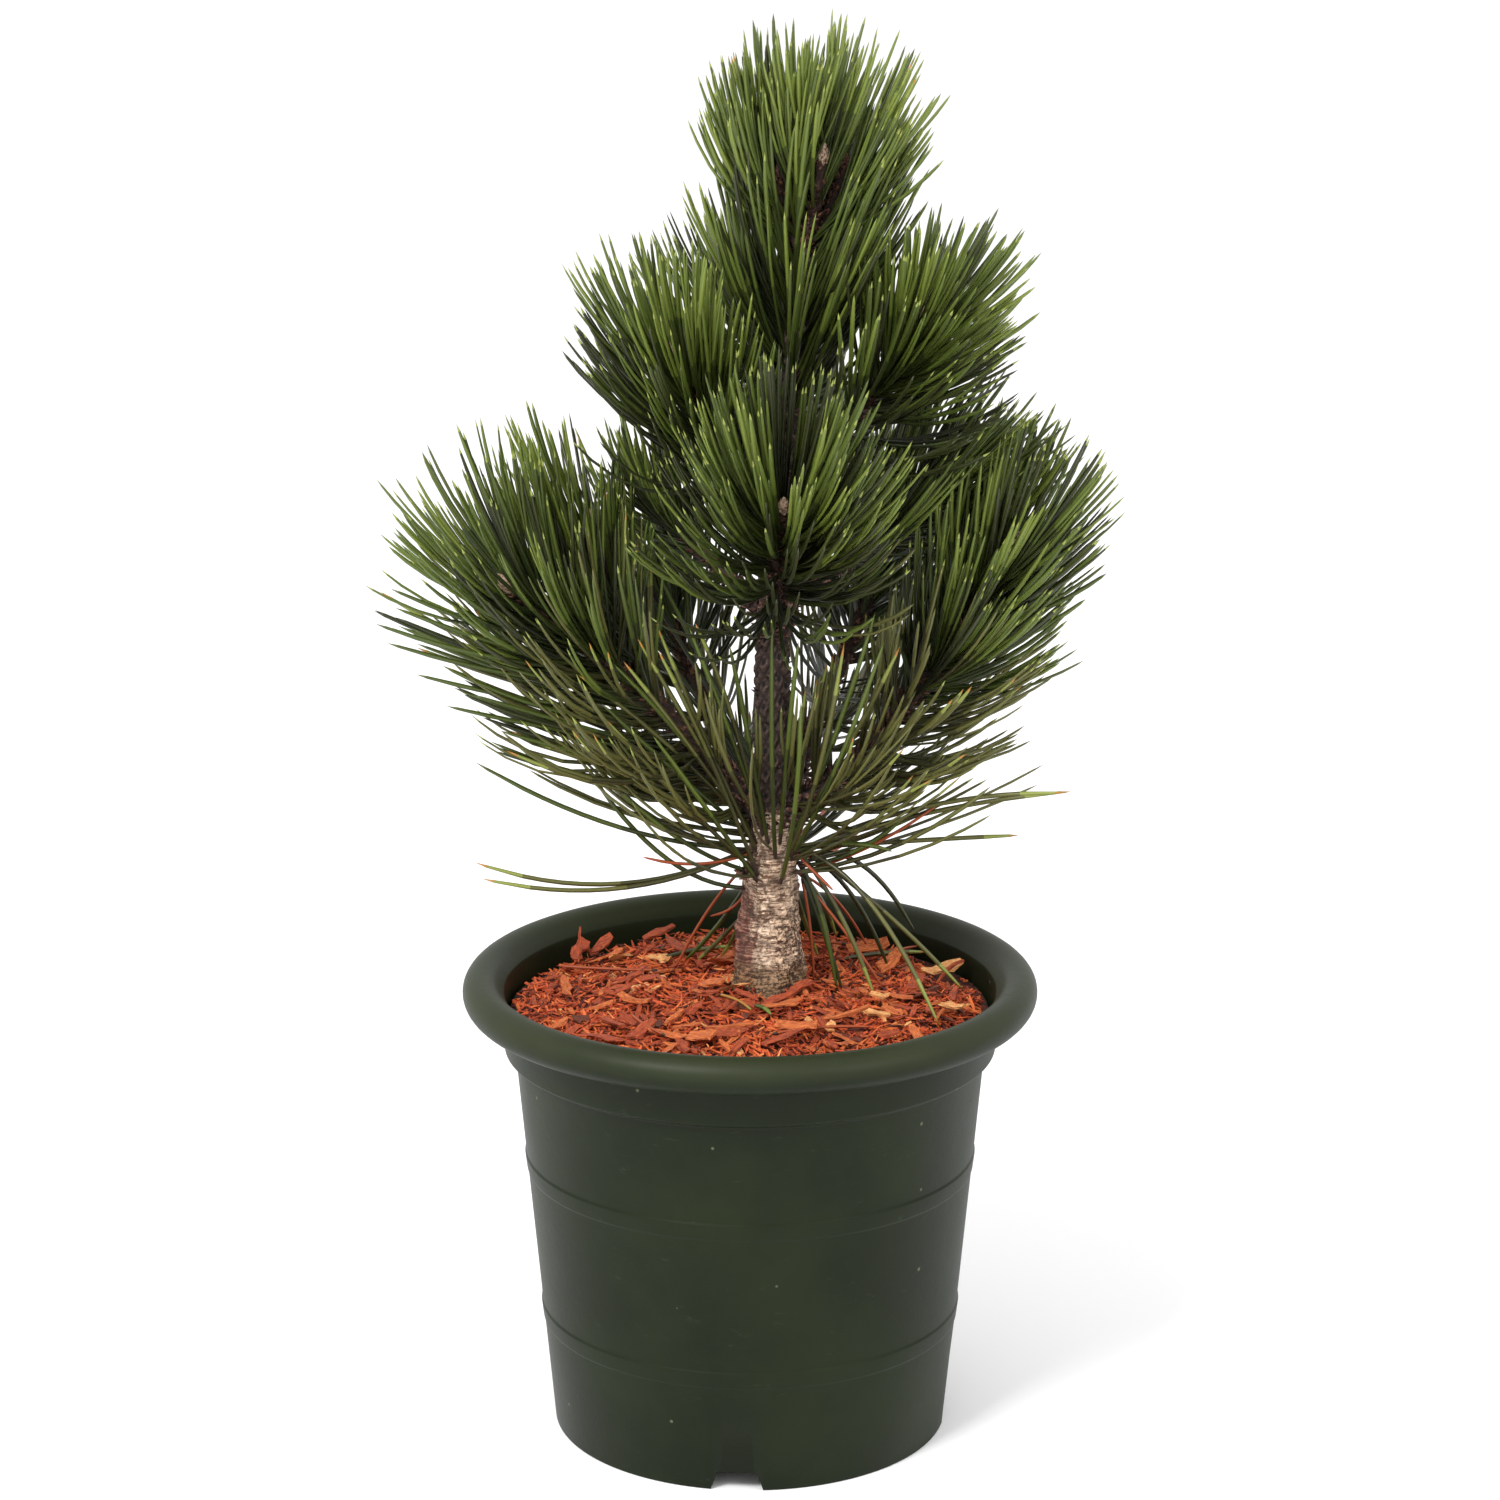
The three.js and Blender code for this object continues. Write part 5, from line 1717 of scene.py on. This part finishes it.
def bough_growth(shoot, rng):
    """The few old needles that still hold on to the foot of a low bough."""
    far, turn = scattered(BOUGH_SPRAYS, rng)
    t = mix(*BOUGH_NEEDLES, far) * shoot.bare
    side, aim, bent = leaning(ahead(shoot, t), math.tau * turn, 0.3 * far, rng)
    roots = along(shoot, t) + side * shoot.thick
    lengths = OLD_NEEDLE_LENGTH * rng.uniform(*BOUGH_LENGTH_PLAY, len(far))
    return Growth(roots, aim, unit(bent + 0.7 * UP), lengths, 0.1 * far)


# %% [markdown]
# ### Each tuft keeps to its own space
#
# What makes the outline of this plant is that its tufts stand apart. A point in the air belongs to the
# tuft whose stems are nearest, and a needle that would run far into its neighbour's space ends there,
# or isn't grown at all where too little of it is left. The same test keeps needles off the bare limbs,
# above the pot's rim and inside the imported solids' box. At a few places the photograph lets the eye in
# to a bud, to the trunk, or to the sky between two tufts, and no needle is grown across those.

# %% The space of each tuft
BOWL_SPACE = 1.9
BOWL_LINE = 218, 234
CROSSING = -2, 8
ROOM = {"right_mid": 14}
SHORTEST_SHARE = 0.58
CROWN_FOOT = 390
# How strongly painted shade darkens pairs that point in towards the trunk, below and above CROWN_FOOT.
INNER_SHADE = 1.5
CROWN_SHADE = 0.7
LIMB_CLEARANCE = 1.2
RIM_CLEARANCE = 2
BOX_SLACK = 1.5


def distance_to(points, line):
    """How far each point is from a line of straight stretches."""
    nearest = np.full(points.shape[:-1], np.inf)
    for start, end in zip(line, line[1:]):
        stretch = end - start
        share = np.clip((points - start) @ stretch / (stretch @ stretch), 0, 1)
        nearest = np.minimum(nearest, np.linalg.norm(points - start - share[..., None] * stretch, axis=-1))
    return nearest


# %% Places kept open
FRONT = unit([0, -1, 0.27])
SIGHT = 150
SIGHT_BACK = 6
TRUNK_SEEN = [256, 286, 316]
SKY_NOTCH = [(-80, 80, 418), (-68, 80, 404), (-62, 80, 382)]
LEADER_GAPS = [(0.4, 1, 2.6), (0.6, 1.1, 3.4), (0.5, 1, 3)]
Opening = namedtuple("Opening", "line low high gap")


def sight_line(points):
    """A curve through the air, in the form of a shoot that bears nothing."""
    return Shoot(*np.asarray(points), 0, 0, 0, 0, False)


bare_trunk = Opening(sight_line(trunk_centre(TRUNK_SEEN)), 0, 1, 7)
left_notch = Opening(sight_line(SKY_NOTCH), 0, 1, 4.4)
OPENINGS = {
    "left_low": [Opening(masses["left_low"][0], 0.5, 1.03, 2.4), left_notch],
    "front_mid": [Opening(masses["front_mid"][0], 0.6, 1.02, 2.2)],
    "bowl": [bare_trunk],
    "left_mid": [left_notch],
    "left_high": [left_notch],
    "back_left_low": [left_notch],
    "leader": [Opening(shoot, *gap) for shoot, gap in zip(masses["leader"], LEADER_GAPS)],
}


def hides_an_opening(paths, name):
    """Whether a needle crosses one of the places that the photograph leaves open."""
    hides = np.zeros(len(paths), bool)
    for opening in OPENINGS.get(name, []):
        for t in np.linspace(opening.low, opening.high, 4):
            spot = along(opening.line, t)
            sight = [spot - SIGHT_BACK * FRONT, spot + SIGHT * FRONT]
            hides |= np.any(distance_to(paths[:, 3:], sight) < opening.gap, axis=1)
    return hides


# %% Room for a needle
space_lines = {
    name: [along(shoot, np.linspace(shoot.bare, 1, 6)) for shoot in shoots]
    for name, shoots in masses.items()
}
space_lines["leader"].append(trunk_centre([LEADER_NEEDLES_FROM, 440, TRUNK_TOP]))
space_lines["bowl"] = [trunk_centre(BOWL_LINE)]
bare_lines = [along(masses[b.name][0], np.linspace(0, b.bare, 5)) for b in BRANCHES]


def away_from(points, name):
    nearest = np.min([distance_to(points, line) for line in space_lines[name]], axis=0)
    return nearest / (BOWL_SPACE if name == "bowl" else 1)


def clear_points(points, name, crossing):
    """Whether each point is in its tuft's own space, off the limbs, above the rim and inside the box."""
    own = away_from(points, name) - crossing
    clear = np.all([own < away_from(points, other) for other in space_lines if other != name], axis=0)
    level = np.clip(points[..., 2], GROUND, TRUNK_TOP)
    clear &= np.linalg.norm(points - trunk_centre(level), axis=-1) > trunk_radius(level) + LIMB_CLEARANCE
    for branch, line in zip(BRANCHES, bare_lines):
        clear &= distance_to(points, line) > branch.thick + LIMB_CLEARANCE
    clear &= points[..., 2] > ROLL_HEIGHT + ROLL_TUBE + RIM_CLEARANCE
    low, high = np.array(cad_box) / MM
    return clear & np.all((points > low - BOX_SLACK) & (points < high + BOX_SLACK), axis=-1)


def share_that_fits(paths, name, rng):
    """How much of each needle can grow before it meets something, with the rest cut off."""
    shares = np.concatenate([RINGS, [1]])
    crossing = rng.uniform(*CROSSING, len(paths))[:, None] + ROOM.get(name, 0)
    clear = clear_points(paths[:, 3:], name, crossing)
    first_bad = np.where(np.all(clear, axis=1), clear.shape[1], np.argmin(clear, axis=1))
    return np.where(first_bad == clear.shape[1], 1, shares[first_bad + 1])


# %% Pairs and their finishes
PAIR_OPENING = 0.8, 3.2
PAIR_PLAY = 0.03
PAIR_LENGTH_PLAY = 0.95, 1.03
WIDTH_PLAY = 0.85, 1.1
# The height above CROWN_FOOT over which painted light raises a pair's tone value by 1.
LIT_CROWN_SPAN = 340
TONE_PLAY = 0.2
TONE_LIMITS = -0.45, 0.26, 0.6, 0.92
AGE_PLAY = 0.1
SCORCHED_WHEN_OLD, SCORCHED_WHEN_YOUNG = 0.15, 0.002
PALE_TIPS = 0.5


def paired_paths(whole, name, rng):
    """Both needles of each pair, with a way across each. One that has no room gets no length."""
    count = len(whole.roots)
    part = crosswise(whole.aims, rng)
    opening = np.tan(np.radians(rng.uniform(*PAIR_OPENING, count)))[:, None]
    wobble = rng.normal(0, PAIR_PLAY, (count, 3))
    paths, across = [], []
    for way in (-1, 1):
        aim = unit(whole.aims + wobble + way * opening * part)
        play = rng.normal(0, PAIR_PLAY, (count, 3))
        bent = unit(whole.bents + 1.3 * wobble + 1.7 * way * opening * part + play)
        lengths = whole.lengths * rng.uniform(*PAIR_LENGTH_PLAY, count)
        full = needle_paths(whole.roots, aim, bent, lengths)
        share = share_that_fits(full, name, rng)
        lengths = np.where((share < SHORTEST_SHARE) | hides_an_opening(full, name), 0, lengths * share)
        paths.append(needle_paths(whole.roots, aim, bent, lengths))
        across.append(crosswise(aim, rng))
    return np.concatenate(paths), np.concatenate(across)


def dealt_tones(whole, ageing, rng):
    """The finish of each pair and of its tips: younger pairs are fresher, pairs higher in the crown are
    lighter as a painted light from above, pairs that point in towards the trunk are darker as a painted
    shade, and part luck.
    """
    count = len(whole.roots)
    height = whole.roots[:, 2]
    spray_tone = rng.uniform(0, 1, count // PAIRS_PER_SPRAY).repeat(PAIRS_PER_SPRAY)
    # young holds the pair's freshness and also a painted light: pairs rooted above CROWN_FOOT get lighter
    # tones the higher they are.
    young = 0.5 * (whole.freshness - 0.6) + np.maximum(0, height - CROWN_FOOT) / LIT_CROWN_SPAN
    # Painted shade: pairs that bend in towards the trunk are dealt darker tones, down to the darkest, shade,
    # and less so above CROWN_FOOT.
    outward = unit((whole.roots - trunk_centre(height)) * [1, 1, 0] + NUDGE)
    inward = np.maximum(0, -np.sum(outward * whole.bents, axis=1))
    shade = np.where(height > CROWN_FOOT, CROWN_SHADE, INNER_SHADE)
    pair_tone = spray_tone + rng.normal(0, TONE_PLAY, count) + young - shade * inward
    tones = np.select([pair_tone < limit for limit in TONE_LIMITS], [SHADE, DEEP, MID, FRESH], BRIGHT)
    old = whole.freshness + rng.normal(0, AGE_PLAY, count) < ageing
    tones = np.where(old, OLD, tones)
    luck = rng.uniform(0, 1, count)
    scorched = luck < np.where(old, SCORCHED_WHEN_OLD, SCORCHED_WHEN_YOUNG)
    tips = np.select([scorched, luck < PALE_TIPS], [SCORCHED, TIP], tones + 1)
    return tones, tips


# %% Grow the needles
TUFT_SEED = 200
BOWL_SEED = 171
LOW_AGEING = 0.36
HIGH_AGEING = -0.1
BOWL_AGEING = 0.6


def grown(name, growths, seed, node, ageing):
    """One tuft's needles in one mesh. Those less fresh than the ageing are old ones."""
    rng = np.random.default_rng(seed)
    growths = [grow(rng) for grow in growths]
    whole = Growth(*(np.concatenate(parts) for parts in zip(*growths)))
    shape = SHAPES.get(name, AS_THE_RULE)
    longer = mix(shape.old_longer, shape.longer, np.minimum(1, 2 * whole.freshness))
    whole = whole._replace(lengths=whole.lengths * longer, bents=unit(whole.bents + shape.lean))
    paths, across = paired_paths(whole, name, rng)
    tones, tips = (np.tile(slots, 2) for slots in dealt_tones(whole, ageing, rng))
    widths = NEEDLE_WIDTH * rng.uniform(*WIDTH_PLAY, len(paths))
    kept = np.linalg.norm(paths[:, -1] - paths[:, 0], axis=-1) > 1
    mesh = needles_mesh("needles_" + name, *(values[kept] for values in (paths, across, tones, tips, widths)))
    shown = piece("needles_" + name, mesh, *needle_finishes)
    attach(shown, "root")
    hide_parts(node)
    triangles = sum(len(face.vertices) - 2 for face in mesh.polygons)
    print(name, kept.sum(), "needles of", len(kept), "and", triangles, "triangles")


for i, (name, shoots) in enumerate(masses.items()):
    low = name.endswith("low")
    upright = LEADER_UPRIGHT if name == "leader" else UPRIGHT
    growths = [partial(shoot_growth, shoot, upright) for shoot in shoots]
    if name == "leader":
        growths.append(leader_growth)
    if low:
        growths.append(partial(bough_growth, shoots[0]))
    grown(name, growths, TUFT_SEED + i, "tuft_" + name, LOW_AGEING if low else HIGH_AGEING)
grown("bowl", [low_growth], BOWL_SEED, "low_needles", BOWL_AGEING)

# %% [markdown]
# ### Strays
#
# A real plant is never tidy. A few old needles sweep out far below the others, dead ones hang where they
# died, some lean down to the mulch, and about twenty cross in front of the lowest boughs. These are placed
# one by one, each by the height at which it leaves the trunk, its heading, how far out and how high it
# ends, and how much its middle is lifted. Under the left bough they form a fringe, which is a rule.

# %% Needles out of line
Stray = namedtuple("Stray", "height heading reach end lift tone")
STRAYS = [
    Stray(238, 189, 120, 279, -9, MID), Stray(239, 189, 121, 238, -12, OLD),
    Stray(239, 192, 119, 233, -11, OLD), Stray(238, 208, 60, 243, -4, DEAD),
    Stray(222, 186, 76, 275, -14, MID), Stray(229, 191, 74, 278, -6, FRESH),
    Stray(226, 231, 75, 300, -2, FRESH), Stray(226, 279, 59, 314, -6, FRESH),
    Stray(236, 268, 58, 346, -7, MID), Stray(242, 278, 57, 337, 2, FRESH),
    Stray(240, 252, 59, 335, 4, MID), Stray(242, 305, 65, 348, -4, FRESH),
    Stray(238, 349, 118, 268, 4, OLD), Stray(238, 346, 117, 269, 6, OLD), Stray(238, 1, 97, 243, 2, OLD),
    Stray(238, 320, 59, 248, 4, MID), Stray(229, 346, 66, 261, -4, DEAD),
    Stray(232, 333, 57, 259, -4, MID), Stray(234, 12, 58, 198, 14, DEEP),
    Stray(240, 322, 82, 178, 14, OLD), Stray(240, 357, 76, 179, 2, OLD),
    Stray(236, 25, 51, 180, 10, DEEP), Stray(238, 340, 42, 180, 3, OLD), Stray(232, 350, 25, 180, 6, MID),
    Stray(228, 351, 27, 180, 1, DEEP), Stray(225, 15, 16, 181, 0, DEAD), Stray(226, 51, 62, 180, 6, DEAD),
    Stray(225, 354, 44, 180, 2, DEAD), Stray(238, 321, 29, 226, 0, DEAD),
    Stray(227, 138, 50, 180, -2, MID), Stray(212, 133, 46, 180, 0, OLD),
    Stray(222, 156, 29, 206, -2, DEAD), Stray(262, 160, 62, 330, 4, DEEP),
    Stray(258, 166, 55, 318, 6, DEEP), Stray(266, 150, 60, 338, 2, DEEP),
    Stray(256, 171, 58, 305, 6, DEEP), Stray(270, 156, 50, 345, 0, MID), Stray(252, 164, 66, 300, 8, MID),
    Stray(228, 229, 69, 332, 6, OLD), Stray(236, 226, 67, 342, -4, OLD),
    Stray(248, 239, 65, 342, 1, FRESH), Stray(244, 239, 61, 343, 7, OLD),
    Stray(244, 215, 77, 325, 6, FRESH), Stray(242, 219, 76, 327, 1, OLD),
    Stray(243, 212, 80, 309, -1, MID), Stray(230, 215, 81, 304, 1, OLD),
    Stray(244, 312, 70, 334, -1, OLD), Stray(236, 305, 71, 338, -8, FRESH),
    Stray(236, 293, 65, 338, -10, OLD), Stray(240, 222, 72, 336, 2, OLD),
    Stray(246, 204, 84, 318, 4, OLD),
]
STRAY_WIDTH, DEAD_WIDTH = 1.02, 0.7
FRINGE = 38
FRINGE_REACH = 160, 108
FRINGE_END = 346, 284
FRINGE_SPOTS = 0.62, 0.08
FRINGE_CROWDING = 1.3
FRINGE_HEADINGS = 184, 199
FRINGE_LIFT = -7, -2
FRINGE_REACH_PLAY = -8, 3
FRINGE_END_PLAY = -4, 8
BACK_STRAYS = 9
BACK_HANGING = 0.6
BACK_DEAD = 0.3
BACK_HEIGHTS = 225, 240
BACK_HEADINGS = 50, 170
BACK_REACH, BACK_HANGING_REACH = (60, 100), (25, 70)
BACK_END = 225, 270
BACK_LIFT = -6, 8
STRAY_PLAY = 1.5
FALLEN_LIFT = 3.4
FALLEN_BEND = 0.12

Fallen = namedtuple("Fallen", "x y length turn tone")
FALLEN = [
    Fallen(54, 44, 38, 17, OLD), Fallen(5, -34, 13, -61, BRIGHT), Fallen(-6, -24, 24, -57, SCORCHED),
    Fallen(61, 52, 26, 48, DEAD), Fallen(-58, 22, 42, 172, DEAD), Fallen(-22, 48, 36, 30, OLD),
    Fallen(28, -52, 40, 12, DEAD), Fallen(-40, -46, 30, 118, DEAD), Fallen(20, 66, 44, 160, DEAD),
]


# %% Strays by rule
def strays_behind(rng):
    """More of the same round the back, where the photograph doesn't look."""
    for _ in range(BACK_STRAYS):
        hanging = rng.uniform() < BACK_HANGING
        end = MULCH_MIDDLE if hanging else rng.uniform(*BACK_END)
        reach = rng.uniform(*(BACK_HANGING_REACH if hanging else BACK_REACH))
        tone = DEAD if rng.uniform() < BACK_DEAD else OLD
        height, heading = rng.uniform(*BACK_HEIGHTS), rng.uniform(*BACK_HEADINGS)
        yield Stray(height, heading, reach, end, rng.uniform(*BACK_LIFT), tone)


def fringe(rng):
    """The old needles that sweep out level from under the left bough, each by its share of the bough."""
    for spot in rng.uniform(0, 1, FRINGE) ** FRINGE_CROWDING:
        reach = mix(*FRINGE_REACH, spot) + rng.uniform(*FRINGE_REACH_PLAY)
        end = mix(*FRINGE_END, spot) + rng.uniform(*FRINGE_END_PLAY)
        tone = rng.choice([DEEP, MID, MID, OLD])
        heading, lift = rng.uniform(*FRINGE_HEADINGS), rng.uniform(*FRINGE_LIFT)
        yield Stray(mix(*FRINGE_SPOTS, spot), heading, reach, end, lift, tone)


# %% Curves of the strays
def stray_paths(strays, rng, bough=None):
    """Strays from the trunk, or from shares of a bough, which then stand in place of the height."""
    height, heading, reach, end, lift, _ = np.transpose([list(stray) for stray in strays])
    out = heading_of(heading)
    if bough:
        roots, height = along(bough, height), np.full(len(strays), GROUND)
    else:
        roots = trunk_centre(height) + out * trunk_radius(height)[:, None]
    tips = trunk_centre(height) * [1, 1, 0] + out * reach[:, None] + end[:, None] * UP
    waists = (roots + tips) / 2 + 2 * lift[:, None] * UP + rng.normal(0, STRAY_PLAY, roots.shape)
    return curves(roots, waists, tips, FINE_RINGS)


def fallen_paths(fallen):
    """Needles that lie on the mulch, a little bent and resting on the highest chips."""
    x, y, length, turn, _ = np.transpose([list(needle) for needle in fallen])
    middles = np.stack([x, y, mulch_height(np.hypot(x, y), np.arctan2(y, x)) + FALLEN_LIFT], axis=1)
    half = heading_of(turn) * length[:, None] / 2
    aside = heading_of(turn + 90) * FALLEN_BEND * length[:, None] + [0, 0, 1]
    return curves(middles - half, middles + aside, middles + half, FINE_RINGS)


# %% Set the strays
def make_strays():
    rng = np.random.default_rng(77)
    strays = STRAYS + list(strays_behind(rng))
    swept = list(fringe(rng))
    from_bough = stray_paths(swept, rng, masses["left_low"][0])
    paths = np.concatenate([stray_paths(strays, rng), from_bough, fallen_paths(FALLEN)])
    tones = np.array([needle.tone for needle in strays + swept + FALLEN])
    tips = np.select([tones == OLD, tones < SHEATH], [SCORCHED, tones + 1], tones)
    across = unit(np.cross(paths[:, -1] - paths[:, 0], FRONT))
    widths = np.where(tones >= SHEATH, DEAD_WIDTH, STRAY_WIDTH) * NEEDLE_WIDTH
    mesh = needles_mesh("needles_stray", paths, across, tones, tips, widths, FINE_RINGS)
    shown = piece("needles_stray", mesh, *needle_finishes)
    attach(shown, "root")
    print("strays", len(strays) + len(swept), "and fallen needles", len(FALLEN))


make_strays()

# %% [markdown]
# ## Floor and light
#
# A pale floor and a pale sky all round stand for a photographer's white box, with one large soft lamp
# above and to the left to give the needles their shine. The lamps' places and sizes are in metres.


# %% The studio
FLOOR_REACH = 9000
SKY_STRENGTH = 1.04
LAMPS = [("soft_key", (-1.2, -1.6, 2.2), 64, 0.8), ("soft_fill", (1.6, -1.4, 1.4), 12, 1.0)]


def studio():
    corners = FLOOR_REACH * np.array([(-1, -1, 0), (1, -1, 0), (1, 1, 0), (-1, 1, 0)])
    floor = mesh_of("studio_floor", corners, [np.array([[0, 1, 2, 3]])])
    piece("studio_floor", floor, plain("studio_paper", (253, 253, 253), 0.9))
    world = bpy.data.worlds.new("studio_sky")
    world.use_nodes = True
    sky = world.node_tree.nodes["Background"]
    sky.inputs["Color"].default_value = (1, 1, 1, 1)
    sky.inputs["Strength"].default_value = SKY_STRENGTH
    bpy.context.scene.world = world
    for name, place, power, size in LAMPS:
        lamp = bpy.data.lights.new(name, "AREA")
        lamp.energy = power
        lamp.size = size
        shown = bpy.data.objects.new(name, lamp)
        shown.location = place
        to_plant = Vector((0, 0, 0.3)) - Vector(place)
        shown.rotation_euler = to_plant.to_track_quat("-Z", "Y").to_euler()
        bpy.context.scene.collection.objects.link(shown)


studio()
bpy.context.scene.view_settings.view_transform = "Standard"
print("studio with", len(LAMPS), "lamps")

# %% Hand over
bpy.context.view_layer.update()
